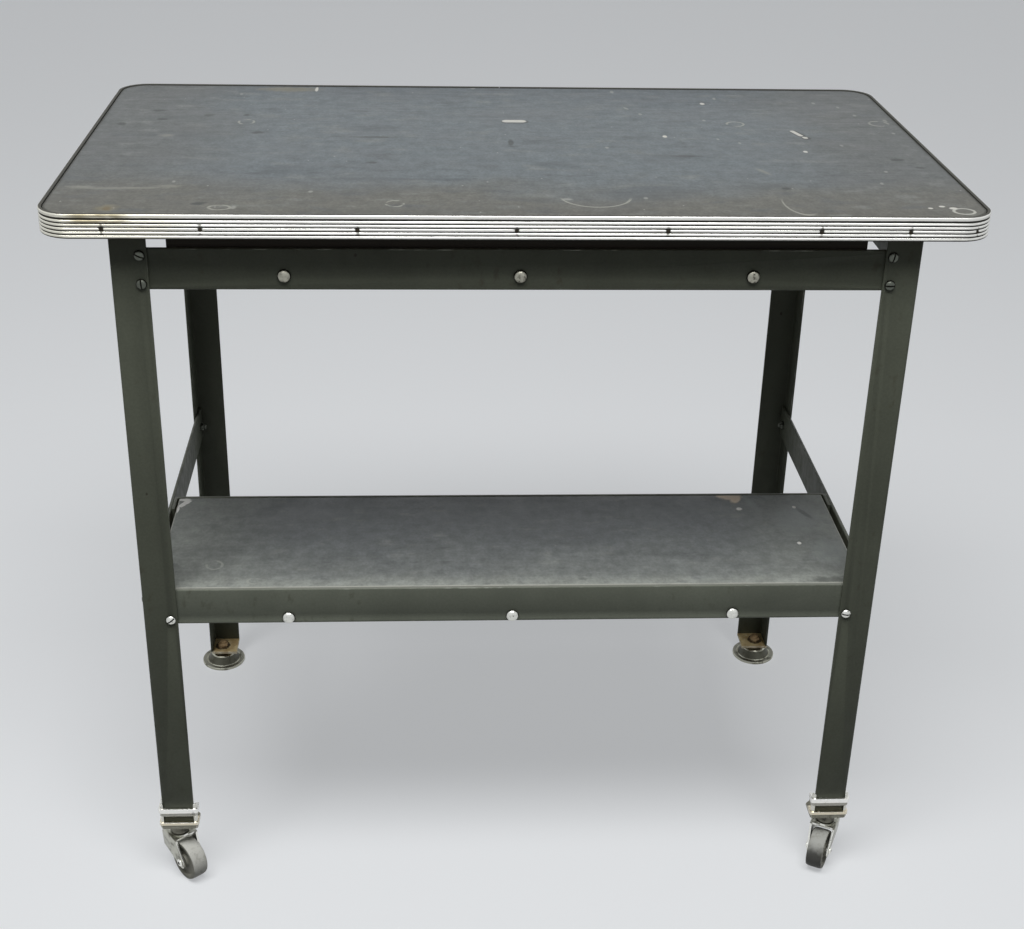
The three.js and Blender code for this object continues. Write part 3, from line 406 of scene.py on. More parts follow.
def top_linoleum():
    look = Finish("top_linoleum", Specular_IOR_Level=0.35)
    broad = look.noise((130, 90, 100))
    cloud = look.noise((60, 44, 50), 5.0, 7.0)
    streak = look.noise((60, 5, 40), 4.0, 3.0, 0.6)
    scratch = look.noise((140, 0.9, 40), 2.0, 9.0)
    smear = look.noise((34, 15, 40), 4.0, 21.0)
    mottle = look.noise((12, 15, 12), 3.0, 33.0)
    grain = look.noise((2.4, 3.4, 3), 2.0, 23.0)
    ragged = look.centred(look.noise((7, 5, 7), 4.0, 5.0), 1.6)
    fine = look.centred(look.noise((9, 9, 9), 2.0, 2.0), 0.22)
    broken = look.ramp(look.noise((10, 8, 10), 2.0, 25.0), 0.4, 0.54)

    wander = look.centred(broad, 150.0)
    front = look.ramp(look.y + wander, -85, -180)
    sides = look.ramp(abs(look.x) + wander, 215, 340)
    rear = look.ramp(look.y + wander, 120, 205)
    colour = look.layers(
        srgb("6b7275"),
        [
            (rear, 0.9, "62696d"),
            (sides, 0.85, "616361"),
            (front, 0.9, "66655e"),
            (look.ramp(smear, 0.55, 0.7), 0.5, "565a5c"),
            (look.ramp(smear, 0.45, 0.3), 0.45, "7f827e"),
        ],
    )
    colour = look.tint(colour, (cloud, 0.84, 1.16), (streak, 0.92, 1.08), (mottle, 0.86, 1.14))
    colour = look.tint(colour, (scratch, 0.95, 1.05), (grain, 0.87, 1.13))

    dark = look.blots(
        [
            (-229, 32, 5, 4), (-280, 94, 5, 5, -30), (-329, 110, 6, 4), (-322, 78, 5, 4),
            (-356, 60, 4, 5), (-245, 96, 3, 3), (-257, -184, 6, 4, 20), (1, 2, 2.2, 11),
            (-122, -64, 5, 3), (343, -46, 6, 4), (357, -71, 5, 3), (155, -38, 13, 2.6),
            (-123, 19, 24, 2.2), (225, -136, 4, 4),
        ],
        ragged,
        0.45,
    )
    patches = look.blots(
        [
            (-125, 48, 24, 12), (36, -67, 20, 9), (-193, -88, 28, 15, 5), (-95, -114, 60, 4),
            (150, -40, 28, 7), (208, -130, 16, 9), (110, -150, 30, 20), (-300, 20, 30, 10),
        ],
        ragged,
        0.6,
    )
    stain = look.blots([(-212, 199, 28, 9), (-326, -196, 8, 9)], ragged, 0.5)
    rusty = look.blots([(-326, -198, 3, 5)], ragged, 0.4)
    pale = look.blots(
        [
            (-322, -143, 36, 2.4, 2), (-357, -140, 9, 3.4), (-286, -137, 9, 3.4),
            (-310, 20, 6, 4), (215, -85, 2.5, 10, 25),
        ],
        ragged,
        0.6,
    )
    halves = (TOP_LENGTH / 2 - LINOLEUM_INSET, TOP_DEPTH / 2 - LINOLEUM_INSET)
    border = look.edge_gap(*halves, TOP_CORNER - LINOLEUM_INSET)
    soil = look.ramp(border + look.centred(cloud, 2.0), -2.4, -0.8)

    ring = look.rings(
        [
            (-243, 70, 7, 8.5), (-239, -194, 8.5, 6), (-101, -182, 7, 8), (219, 75, 8, 8),
            (359, 80, 9, 9),
        ],
        fine,
        0.2,
    )
    left_arc = look.rings([(62, -160, 29, 29)], fine * 0.2, 0.05)
    left_arc = left_arc * look.ramp(look.y, -162, -172)
    right_arc = look.rings([(229, -175, 15, 32)], fine * 0.2, 0.07)
    right_arc = right_arc * look.ramp(look.x, 238, 228) * look.ramp(look.y, -160, -178)
    faded = look.most([ring * broken, left_arc, right_arc])
    bright_ring = look.rings([(357.5, -196, 8.4, 7.6)], fine * 0.4, 0.2)
    gouges = [(8, 79.5, 11.5, 4.6), (271, 42, 10.5, 2.3, -73), (276, 27, 3.4, 2.3, -73)]
    # A dark line along the lower and right side of each gouge: painted shadow of its edge.
    gouge_shadows = [(x + 0.8, y - 1.6, *size) for x, y, *size in gouges]
    chips = look.blots(
        [
            (-185, 200, 1.6, 9), (351, -188, 3.6, 3), (343, -183, 2.6, 2.2), (332, -188, 2.2, 2),
            (145, 28, 2.2, 3.6), (199.5, 153, 2.2, 4.2), (266, -21, 2, 3.2),
        ],
        ragged * 0.5,
        0.25,
    )
    chips = chips | look.bars(gouges)
    dots = look.blots(
        [
            (38, -168, 4, 2.4), (-228, -194, 2, 4), (304, 0, 1.7, 2.8), (87, -12, 1.6, 2.6),
            (132, 110, 1.6, 3.4), (121, 132, 1.5, 4.2, 20), (114, 199, 1.8, 4.5), (211, 7, 1.5, 2.6),
            (323, -84, 1.6, 2.4), (-284, -124, 1.5, 3), (103, -164, 1.6, 2.6), (-27, 209, 2.4, 3),
            (-258, 178, 1.5, 3.4), (368, 92, 1.8, 4), (-170, -150, 2, 2.6), (215, 174, 1.6, 3.4),
            (191, 88, 1.5, 2.6), (193, 20, 1.5, 2.6), (334, 142, 1.6, 3.4), (343, 111, 1.6, 3),
            (313, 159, 1.5, 3), (364, 44, 1.6, 2.6), (310, -119, 1.5, 2.4),
        ],
        ragged,
        0.5,
    )
    specks = look.flecks((11, 17, 30), 0.1, 0.25, 4.0) | dots
    colour = look.layers(
        colour,
        [
            (patches, 0.4, "4c5154"),
            (dark, 0.8, "3d403e"),
            (stain, 0.6, "86806a"),
            (rusty, 0.5, "6d5a36"),
            (pale, 0.5, "97978c"),
            (soil, 0.8, "33342c"),
            (specks, 0.5, "b4b5ae"),
            (faded, 0.6, "b4b4a9"),
            (bright_ring, 0.9, "c9c9c0"),
            (look.bars(gouge_shadows, 1.6), 0.75, "2f312d"),
            (chips, 1.0, "dedcd4"),
        ],
    )
    dull = look.ramp(cloud + streak, 0.7, 1.3, 0.46, 0.64)
    relief = look.noise((2.2, 1.4, 3), 2.0) + scratch * 0.8 - chips * 2.0
    return look.made(colour, look.bump(relief, 0.06), dull)


def shelf_linoleum(name="shelf_linoleum", edge=False):
    """Linoleum of the shelf; edge is its rubbed, paler border, pale partly from wear and partly as a
    painted highlight.
    """
    look = Finish(name, Specular_IOR_Level=0.35)
    broad = look.noise((90, 60, 100), 3.0, 11.0)
    cloud = look.noise((36, 24, 50), 5.0, 17.0)
    streak = look.noise((50, 4.5, 40), 4.0, 13.0, 0.6)
    smear = look.noise((26, 12, 40), 4.0, 19.0)
    mottle = look.noise((10, 12, 10), 3.0, 37.0)
    grain = look.noise((2.4, 3.4, 3), 2.0, 27.0)
    ragged = look.centred(look.noise((6, 6, 6), 4.0, 15.0), 1.5)
    fine = look.centred(look.noise((9, 9, 9), 2.0, 12.0), 0.22)
    broken = look.ramp(look.noise((9, 8, 9), 2.0, 29.0), 0.4, 0.54)

    wander = look.centred(broad, 90.0)
    # Paler towards both ends and the front, palest along the front edge: partly the linoleum's own
    # tone, partly painted light, as the rear of the shelf lies in shade under the top.
    ends = look.ramp(abs(look.x) + wander, 170, 318)
    front = look.ramp(look.y + wander, -95, -190)
    brink_tone_and_light = look.ramp(look.y + look.centred(cloud, 34.0), -168, -192)
    colour = look.layers(
        srgb("707475"),
        [
            (ends, 0.7, "8a8e87"),
            (front, 0.6, "8f938e"),
            (brink_tone_and_light, 0.6, "b2b6ae"),
            (look.ramp(smear, 0.56, 0.72), 0.35, "585b5c"),
            (look.ramp(smear, 0.44, 0.28), 0.45, "8d908b"),
        ],
    )
    colour = look.tint(colour, (cloud, 0.86, 1.14), (streak, 0.93, 1.07))
    colour = look.tint(colour, (mottle, 0.85, 1.15), (grain, 0.9, 1.1))

    dark = look.blots([(288, -188, 17, 6), (293, -61, 2.5, 12, 25)], ragged, 0.5)
    ring = look.rings([(-269, -152, 7, 7.5), (-230, -181, 6.5, 4.5)], fine, 0.22)
    dots = [(230, -50, 3, 3), (275, -119, 2, 2.6), (285, -47, 1.8, 2.6)]
    torn = [(-312, -24.5, 6.5, 2.8), (-311.5, -33, 8.5, 3, 56), (-316.2, -44, 1.4, 7)]
    chips = look.blots(dots, ragged * 0.5, 0.25) | look.blots(torn, ragged, 0.2)
    bare = look.blots([(224, -22, 12, 9), (230, -29, 5, 9, -25)], ragged * 0.4, 0.25)
    clouded = [(283, -72, 20, 26), (300, -135, 16, 24), (243, -36, 4, 18, 20)]
    colour = look.layers(
        colour,
        [
            (look.blots(clouded, ragged, 0.6), 0.35, "a6acac"),
            (dark, 0.6, "41443f"),
            (ring * broken, 0.5, "b4b6ae"),
            (look.flecks((15, 20, 30), 0.08, 0.25, 14.0), 0.45, "9da09a"),
            (chips, 1.0, "fcfbf6"),
            (bare, 1.0, "fbe9d2"),
        ],
    )
    if edge:
        # Its rounded border is painted pale: partly rubbed wear, partly a painted highlight.
        rubbed = look.ramp(look.noise((24, 12, 12), 4.0, 31.0), 0.3, 0.5, 0.45, 1.0)
        colour = look.layers(colour, [(rubbed, 0.85, "c4c5bb")])
    dull = look.ramp(cloud + streak, 0.7, 1.3, 0.48, 0.64)
    relief = look.noise((2.2, 1.4, 3)) - chips * 2.0
    return look.made(colour, look.bump(relief, 0.06), dull)


def aluminium():
    look = Finish("ribbed_aluminium", Specular_IOR_Level=0.5)
    brushed = look.noise((40, 40, 0.5))
    blotch = look.noise((26, 26, 8), 4.0, 6.0)
    speck = look.noise((2.2, 2.2, 2.2), 2.0, 12.0)
    uneven = look.centred(blotch, 0.5) + look.centred(speck, 0.5)
    # The dirt attribute paints each rib's foot, its groove and the lip near-black and dull: dirt,
    # painted shade and a painted reflection of a dark floor.
    grime_and_shade = look.ramp(look.attribute("dirt") + uneven, 0.4, 0.74)
    front = look.ramp(look.y, -150, -200)
    yellowed = front * look.within(look.x, -366, -290, 40)
    upper = look.ramp(look.z, 662, 666) * look.within(look.x, -344, -318, 18)
    rusted = front * upper * look.ramp(blotch, 0.2, 0.5)
    colour = look.layers(
        look.tint(srgb("efeee8"), (brushed, 0.94, 1.04)),
        [
            (look.ramp(blotch, 0.6, 0.78), 0.3, "a59c7f"),
            (yellowed, 0.3, "d3c9a2"),
            (rusted, 0.75, "77693f"),
            (grime_and_shade, 0.95, "33322a"),
        ],
    )
    shine = look.ramp(grime_and_shade, 0, 1, 0.95, 0.15)
    dull = look.ramp(brushed, 0.2, 0.8, 0.24, 0.38) + grime_and_shade * 0.45
    return look.made(colour, look.bump(brushed, 0.02), dull, shine)


def frame_paint(name, base, worn=False):
    """Olive-grey enamel; worn is its rubbed edges, where bare steel shows."""
    look = Finish(name, Specular_IOR_Level=0.18)
    broad = look.noise((70, 70, 110), 3.0, 1.0)
    speckle = look.noise((2.2, 2.2, 2.2), 2.0, 4.0)
    scuff = look.noise((9, 9, 14), 4.0, 8.0)
    paint = look.tint(srgb(base), (broad, 0.88, 1.12), (speckle, 0.95, 1.05))
    dirt = look.ramp(scuff + look.centred(broad, 0.5), 0.62, 0.8)
    chips = look.flecks((26, 26, 34), 0.07, 0.22, 3.0)
    # Faces that look up get a paler coat.
    coats = [(dirt, 0.4, "4f4a3a"), (chips, 0.8, "372f25"), (look.facing_up(), 0.5, "93958c")]
    shine = None
    if worn:
        rub = look.ramp(look.noise((14, 14, 26), 4.0, 5.0), 0.5, 0.66)
        coats.append((rub, 0.6, "8f9189"))
        shine = rub * 0.45
    dull = look.ramp(scuff, 0.3, 0.7, 0.4, 0.56)
    peel = look.bump(look.noise((1.3, 1.3, 1.3), 1.0, 2.0), 0.05)
    return look.made(look.layers(paint, coats), peel, dull, shine)


def wood(name, base, dark, across):
    """Planed board with its grain along X; across is the width of the grain's bands."""
    look = Finish(name, Roughness=0.72, Specular_IOR_Level=0.25)
    bend = look.centred(look.noise((220, 18, 18), 2.0, 3.0), 3.0 * across)
    height = look.y + look.z * 0.6 + bend
    bands = look.ramp(look.math("SINE", height * (math.tau / across)), -1, 1)
    pores = look.noise((26, 0.7, 0.7), 3.0, 9.0)
    stain = look.noise((90, 30, 30), 3.0, 5.0)
    colour = look.layers(srgb(base), [(bands, 0.55, dark)])
    colour = look.tint(colour, (pores, 0.8, 1.12), (stain, 0.85, 1.1))
    return look.made(colour, look.bump(pores + bands * 0.3, 0.15))


def metal(name, base, tarnish, amount, rough, patch=14, bands=()):
    """Plated or bare steel with tarnished patches and fine dirt. Bands are levels of another
    colour, each (lowest z, highest z, strength, hex code, dulling)."""
    look = Finish(name)
    broad = look.noise((patch, patch, patch), 4.0, 2.0)
    fine = look.noise((1.6, 1.6, 1.6), 3.0, 7.0)
    tarnished = look.ramp(broad + look.centred(fine, 0.3), 0.66 - amount, 0.86 - amount)
    soil = look.ramp(fine + look.centred(broad, 0.8), 0.62, 0.8)
    coats = [(tarnished, 0.8, tarnish), (soil, 0.55, "35322a")]
    shine = 0.95 - tarnished * 0.5 - soil * 0.4
    for low, high, strength, code, dulling in bands:
        level = look.within(look.z, low, high, 0.5)
        coats.append((level, strength, code))
        shine = shine * (1.0 - level * (strength * dulling))
    colour = look.layers(look.tint(srgb(base), (fine, 0.92, 1.06)), coats)
    dull = rough + (tarnished + soil) * 0.16
    return look.made(colour, look.bump(fine, 0.04), dull, shine)


def rust(name, base, dark, pale):
    look = Finish(name, Specular_IOR_Level=0.3)
    broad = look.noise((9, 9, 9), 4.0, 2.0)
    fine = look.noise((1.1, 1.1, 1.1), 4.0, 6.0)
    light = look.ramp(look.noise((5, 5, 5), 3.0, 9.0), 0.55, 0.72)
    wander = look.centred(look.noise((4, 4, 4), 2.0, 4.0), 0.5)
    # A dark ring round each glide nut on its plate: painted shadow of the nut.
    ring = look.rings([(x, FOOT_Y - 1, 7, 7) for x in (-FOOT_X, FOOT_X)], wander, 0.26)
    colour = look.layers(
        srgb(base),
        [
            (look.ramp(broad, 0.38, 0.66), 0.8, dark),
            (look.ramp(fine, 0.6, 0.78), 0.5, "6a5234"),
            (light, 0.6, pale),
            (ring, 0.85, "2b2116"),
        ],
    )
    dull = look.ramp(fine, 0.3, 0.7, 0.62, 0.85)
    shine = look.ramp(broad, 0.4, 0.7, 0.35, 0.1)
    return look.made(colour, look.bump(fine, 0.12), dull, shine)


def wheel_composition(name, clean, soiled_and_shaded, rolled):
    """Pressed composition of a wheel. Its tread has its own colour and gets darker from the clean
    level down to the lower one: partly dirt, partly painted shade."""
    look = Finish(name, Specular_IOR_Level=0.35)
    tread = look.attribute("tread")
    broad = look.noise((8, 8, 8), 4.0, 3.0)
    grit = look.noise((0.9, 0.9, 0.9), 3.0, 5.0)
    scuff = look.ramp(look.noise((5, 5, 5), 4.0, 8.0), 0.52, 0.7)
    # The tread darkens towards its lowest point: partly dirt, partly painted shade.
    foot = look.ramp(look.z + look.centred(broad, 12.0), clean, soiled_and_shaded)
    dirt = look.ramp(grit + look.centred(broad, 0.7), 0.6, 0.78)
    colour = look.layers(
        look.tint(srgb("9b9a8e"), (broad, 0.8, 1.14)),
        [
            (tread, 0.94, rolled),
            (scuff, 0.4, "9c9a8c"),
            (dirt, 0.5, "55534a"),
            (foot * tread, 0.85, "2b2a24"),
        ],
    )
    return look.made(colour, look.bump(grit, 0.08), look.ramp(grit, 0.3, 0.7, 0.5, 0.7))


LINOLEUM_TOP = top_linoleum()
LINOLEUM_SHELF = shelf_linoleum()
LINOLEUM_RUBBED_EDGE_HIGHLIGHT = shelf_linoleum("shelf_linoleum_rubbed_edge_highlight", True)
ALUMINIUM = aluminium()
PAINT = frame_paint("frame_paint", "64685b")
PAINT_EDGE = frame_paint("frame_paint_rubbed", "64685b", True)
# A paler copy of the frame paint, for the shelf's front rail: painted light, as the rail bears the
# same paint as the rest of the frame.
PAINT_PAINTED_LIGHT = frame_paint("frame_paint_painted_light", "7e8376")
PAINT_PAINTED_LIGHT_EDGE = frame_paint("frame_paint_painted_light_rubbed", "7e8376", True)
PLYWOOD = wood("plywood", "8f7450", "6e5436", 7)
# Near-black wood for the battens and cleats: painted shade of the gap between apron and top, where
# the battens show.
SHADED_BATTEN_WOOD = wood("batten_wood", "332e27", "211d18", 4)
ZINC = metal("zinc", "e2e2db", "9d9b8f", 0.06, 0.28, patch=3)
# A darker, duller copy of the zinc for the apron bolts, which sit under the top's edge: partly
# tarnish, partly painted shade.
ZINC_AGED_AND_SHADED = metal("zinc_aged_and_shaded", "a9a79a", "68655a", 0.18, 0.34, patch=3)
BOLT_PAINT = metal("painted_bolt", "5f625a", "474941", 0.1, 0.42, patch=8)
# Near-black steel for the rims and slots of bolt heads and the dimples of axle ends: dirt and
# painted shade.
BOLT_GRIME_AND_SHADE = metal("bolt_grime_and_shade", "2a2a24", "1c1c18", 0.1, 0.6, patch=8)
# Bands of the socket by height: the pale ones on its two rolls are painted highlights; the darker,
# duller ones lie on its lips.
SOCKET_HIGHLIGHT_AND_DARK_BANDS = (
    (57, 64.4, 0.75, "6a664c", 0.7),
    (65.2, 68, 0.55, "e6d6b4", 0.0),
    (75.2, 78.8, 0.5, "7c7a70", 0.5),
    (79.4, 83.7, 0.92, "fbfaf6", 0.0),
)
SOCKET_NICKEL = metal("socket_nickel", "d2d1c8", "8a8675", 0.1, 0.24, patch=8, bands=SOCKET_HIGHLIGHT_AND_DARK_BANDS)
NICKEL = metal("nickel", "bdbcb0", "636053", 0.16, 0.28, patch=8)
# Near-white nickel on rolled and cut edges and the axle ends: partly rubbed wear, partly painted
# highlights.
NICKEL_RUBBED_HIGHLIGHT = metal("nickel_rubbed_highlight", "f2f1ea", "b4af9c", 0.0, 0.24, patch=6)
# Darkened nickel for the races, which lie under the sockets: painted shade, with tarnish and grease.
NICKEL_SHADED = metal("nickel_shaded", "706e64", "403e35", 0.2, 0.4)
NAIL = metal("nail", "3a352b", "221e17", 0.2, 0.55, patch=4)
# The glide's steep wall is painted dark olive and duller: painted shade.
GLIDE_SHADE_BANDS = ((3.6, 10.8, 0.85, "3e3d2a", 0.7),)
GLIDE_STEEL = metal("glide_steel", "b3b2a4", "77745f", 0.16, 0.36, patch=7, bands=GLIDE_SHADE_BANDS)
# The plates' rust is paler than their own tan, standing in for light that reaches them under the
# table: painted light. Their side faces take the paler edge copy: a painted highlight.
RUST_WITH_PAINTED_LIGHT = rust("rusty_steel", "ead5a2", "c4a571", "f2e8c8")
RUST_EDGE_HIGHLIGHT = rust("rusty_steel_edge_highlight", "f6ecd2", "e0cba0", "f8f2e0")
RUST_DARK = rust("rusty_steel_dark", "bda27a", "8f7250", "d2bd96")
# The right wheel's tread is greyer and darkens much higher up: painted shade, partly dirt.
WHEELS = {
    "left": wheel_composition("wheel_composition_left", 10, 1, "e6e6de"),
    "right": wheel_composition("wheel_composition_right", 34, 23, "c9cac4"),
}


# Meshes


def spin(angle, axis):
    """A turn by degrees about an axis."""
    return Matrix.Rotation(math.radians(angle), 4, axis)


def span(node):
    """Lowest and highest corner of a CAD node, in millimetres."""
    return [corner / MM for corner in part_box(node)]


def levels(node):
    """Lowest and highest z of a CAD node, in millimetres."""
    return [corner.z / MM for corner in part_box(node)]


def add_piece(name, mesh, materials, body, nodes=(), sharp=SHARP):
    """A new piece of the object that rides on a body and may stand for CAD nodes."""
    mesh.shade_smooth()
    mesh.set_sharp_from_angle(angle=math.radians(sharp))
    for material in materials:
        mesh.materials.append(material)
    piece = bpy.data.objects.new(name, mesh)
    bpy.context.scene.collection.objects.link(piece)
    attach(piece, body)
    if nodes:
        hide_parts(*nodes)
    return piece


def stand_in(node, mesh, materials, sharp=SHARP):
    """A piece that stands for a CAD node and rides on its body."""
    return add_piece(node + "_look", mesh, materials, BODY_OF[node], [node], sharp)


def settle(mesh, weld=None):
    """Turns a mesh's faces outwards, after vertices within the weld are joined."""
    work = bmesh.new()
    work.from_mesh(mesh)
    if weld:
        bmesh.ops.remove_doubles(work, verts=work.verts, dist=weld)
    bmesh.ops.recalc_face_normals(work, faces=work.faces)
    work.to_mesh(mesh)
    work.free()


def mesh_of(name, verts, faces, place=Matrix.Identity(4)):
    """A welded mesh in metres, from vertices in millimetres and the place that they go to."""
    mesh = bpy.data.meshes.new(name)
    mesh.from_pydata([tuple(v) for v in verts], [], faces)
    mesh.transform(METRES @ place)
    settle(mesh, WELD)
    return mesh


def add_extra(name, shape, material, place=Matrix.Identity(4)):
    """A piece of the frame that the CAD leaves out, from its vertices and faces."""
    add_piece(name, mesh_of(name, *shape, place), [material], "frame")


def skin(count, around):
    """Faces over that many vertices in rings, with the first and last ring closed."""
    faces = [list(range(around)), list(range(count - around, count))]
    for base in range(0, count - around, around):
        for step in range(around):
            after = (step + 1) % around
            faces.append([base + step, base + after, base + around + after, base + around + step])
    return faces


def lathe(profile, steps=SMALL_STEPS, radius_at=None):
    """Vertices and faces of a (radius, height) profile turned about Z.
    radius_at changes a ring's radius by its angle, as on a hexagon."""
    verts = []
    rings = []
    for radius, height in profile:
        if radius == 0:
            rings.append([len(verts)] * steps)
            verts.append((0, 0, height))
            continue
        rings.append(range(len(verts), len(verts) + steps))
        for step in range(steps):
            angle = math.tau * step / steps
            reach = radius_at(radius, angle) if radius_at else radius
            verts.append((reach * math.cos(angle), reach * math.sin(angle), height))
    faces = []
    for low, high in zip(rings, rings[1:]):
        for step in range(steps):
            after = (step + 1) % steps
            face = dict.fromkeys((low[step], low[after], high[after], high[step]))
            if len(face) > 2:
                faces.append(list(face))
    return verts, faces


def arc(radius, base, height, steps=7, inner=0.0):
    """Points of a domed end, from its rim at the base height in to an inner radius."""
    points = []
    for step in range(steps + 1):
        angle = math.pi / 2 * step / steps
        reach = radius * math.cos(angle)
        if step == steps:
            reach = 0
        if reach >= inner:
            points.append((reach, base + height * math.sin(angle)))
    return points


def rounded(points, radius, steps=4):
    """A profile whose corners are eased by up to that radius."""
    eased = [points[0]]
    for back, here, after in zip(points, points[1:], points[2:]):
        corner = Vector(here)
        arrive = Vector(back) - corner
        leave = Vector(after) - corner
        reach = min(radius, arrive.length * 0.45, leave.length * 0.45)
        start = corner + arrive.normalized() * reach
        end = corner + leave.normalized() * reach
        for step in range(steps + 1):
            t = step / steps
            point = start * (1 - t) ** 2 + corner * 2 * t * (1 - t) + end * t**2
            eased.append(tuple(point))
    eased.append(points[-1])
    return eased


def paint_faces(mesh, place, index, chosen):
    """Gives a material index to the faces that are chosen by their middle, in millimetres
    before the mesh went to its place, and by their normal."""
    back = (METRES @ place).inverted()
    for face in mesh.polygons:
        if chosen(back @ face.center, face.normal):
            face.material_index = index


def refine(node, materials, width, limit=40, segments=2):
    """Stands for a sheet or board with the same shape, whose sharp edges are broken."""
    mesh = frame["nodes"][node].data.copy()
    mesh.materials.clear()
    work = bmesh.new()
    work.from_mesh(mesh)
    bmesh.ops.remove_doubles(work, verts=work.verts, dist=CAD_WELD)
    flat = math.radians(FLAT)
    bmesh.ops.dissolve_limit(work, angle_limit=flat, verts=work.verts, edges=work.edges)
    bmesh.ops.recalc_face_normals(work, faces=work.faces)
    bmesh.ops.bevel(
        work,
        geom=[e for e in work.edges if e.calc_face_angle(0) > math.radians(limit)],
        offset=width * MM,
        segments=segments,
        profile=0.5,
        affect="EDGES",
        clamp_overlap=True,
        material=len(materials) - 1,
    )
    bmesh.ops.triangulate(work, faces=[f for f in work.faces if len(f.verts) > 4])
    work.to_mesh(mesh)
    work.free()
    mesh.name = node + "_look"
    if "custom_normal" in mesh.attributes:
        mesh.attributes.remove(mesh.attributes["custom_normal"])
    return stand_in(node, mesh, materials)


def add_turned(node, profile, material, steps=ROUND_STEPS):
    """A turned piece that stands for a CAD node, on that node's own upright axis."""
    low, high = span(node)
    place = Matrix.Translation(((low.x + high.x) / 2, (low.y + high.y) / 2, 0))
    mesh = mesh_of(node + "_look", *lathe(profile, steps), place)
    stand_in(node, mesh, [material])


# Top


def top_path(offset):
    """Outline of the top, moved inwards, from the middle of its rear edge round to it again.
    Each point is (x, y)."""
    radius = TOP_CORNER - offset
    path = []
    for corner in range(4):
        start = math.pi / 2 - corner * math.pi / 2
        x = (1 if corner in (0, 1) else -1) * (TOP_LENGTH / 2 - TOP_CORNER)
        y = (1 if corner in (0, 3) else -1) * (TOP_DEPTH / 2 - TOP_CORNER)
        for step in range(CORNER_STEPS + 1):
            angle = start - step / CORNER_STEPS * math.pi / 2
            path.append((x + radius * math.cos(angle), y + radius * math.sin(angle)))
    return path


def add_top_sheet(node, offset, material):
    low, high = levels(node)
    rings = [
        (offset, low),
        (offset, high - SHEET_EDGE),
        (offset + SHEET_EDGE * 0.3, high - SHEET_EDGE * 0.3),
        (offset + SHEET_EDGE, high),
    ]
    verts = []
    for inset, z in rings:
        verts.extend((x, y, z) for x, y in top_path(inset))
    mesh = mesh_of(node + "_look", verts, skin(len(verts), len(verts) // len(rings)))
    stand_in(node, mesh, [material])


def rib_grime_and_shade(level, soiled_and_shaded):
    """Dirt and painted shade on a rib by height, from 0 at its foot to 1 at its top: its lower part
    is painted black, which also stands for a reflection of a dark floor.
    """
    lower = (soiled_and_shaded - level) / GRIME_AND_SHADE_FADE
    upper = (level - RIB_CREST) / CREST_FADE
    return min(max(lower, upper, 0.0), 1.0)


def trim_section(low, high):
    """Ribbed section as (offset from the outermost face, height, dirt and painted shade, rib)."""
    pitch = (high - low - TRIM_BEAD - TRIM_GROOVE) / TRIM_RIBS
    ribs = [(low + rib * pitch, pitch, rib) for rib in range(TRIM_RIBS)]
    ribs.append((high - TRIM_BEAD, TRIM_BEAD, TRIM_RIBS))
    section = [(TRIM_THICKNESS, low, 1.0, -1)]
    for base, height, rib in ribs:
        soiled_and_shaded = BEAD_GRIME_AND_SHADE if rib == TRIM_RIBS else RIB_GRIME_AND_SHADE
        for step in range(RIB_STEPS + 1):
            angle = step / RIB_STEPS * math.pi
            depth = TRIM_RIB_DEPTH * (1 - math.sin(angle))
            level = (1 - math.cos(angle)) / 2
            section.append((depth, base + height * level, rib_grime_and_shade(level, soiled_and_shaded), rib))
    # The lip's top and back are painted fully dark: dirt and painted shade.
    section.append((TRIM_THICKNESS * 0.6, high, 1.0, TRIM_RIBS))
    section.append((TRIM_THICKNESS, high - 0.3, 1.0, TRIM_RIBS))
    return section


def trim_stations():
    """Places along the trim as (x, y, inward normal, distance to the nearest nail)."""
    half_x = TOP_LENGTH / 2
    half_y = TOP_DEPTH / 2
    reach_x = half_x - TOP_CORNER
    reach_y = half_y - TOP_CORNER
    spread = [NAIL_DIMPLE * step for step in DIMPLE_STEPS]
    sides = [
        (sorted(NAILS_REAR), lambda t: (t, half_y), (0, -1), (TRIM_SEAM / 2, reach_x)),
        (sorted(NAILS_SIDE, reverse=True), lambda t: (half_x, t), (-1, 0), (reach_y, -reach_y)),
        (sorted(NAILS_FRONT, reverse=True), lambda t: (t, -half_y), (0, 1), (reach_x, -reach_x)),
        (sorted(NAILS_SIDE), lambda t: (-half_x, t), (1, 0), (-reach_y, reach_y)),
        (sorted(NAILS_REAR), lambda t: (t, half_y), (0, -1), (-reach_x, -TRIM_SEAM / 2)),
    ]
    stations = []
    for turn, (nails, at, inward, (start, end)) in enumerate(sides):
        way = 1 if end > start else -1
        places = [(start, NAIL_DIMPLE)]
        for nail in nails:
            if min(start, end) < nail < max(start, end):
                places.extend((nail + way * d, abs(d)) for d in spread)
        places.append((end, NAIL_DIMPLE))
        stations.extend((*at(t), inward, gap) for t, gap in places)
        if turn == len(sides) - 1:
            break
        x = at(end)[0] + inward[0] * TOP_CORNER
        y = at(end)[1] + inward[1] * TOP_CORNER
        begin = math.atan2(-inward[1], -inward[0])
        for step in range(1, CORNER_STEPS):
            angle = begin - step / CORNER_STEPS * math.pi / 2
            out = (math.cos(angle), math.sin(angle))
            point = (x + TOP_CORNER * out[0], y + TOP_CORNER * out[1])
            nailed = turn == 1 and step == CORNER_NAIL_STEP
            stations.append((*point, (-out[0], -out[1]), 0 if nailed else NAIL_DIMPLE))
    return stations


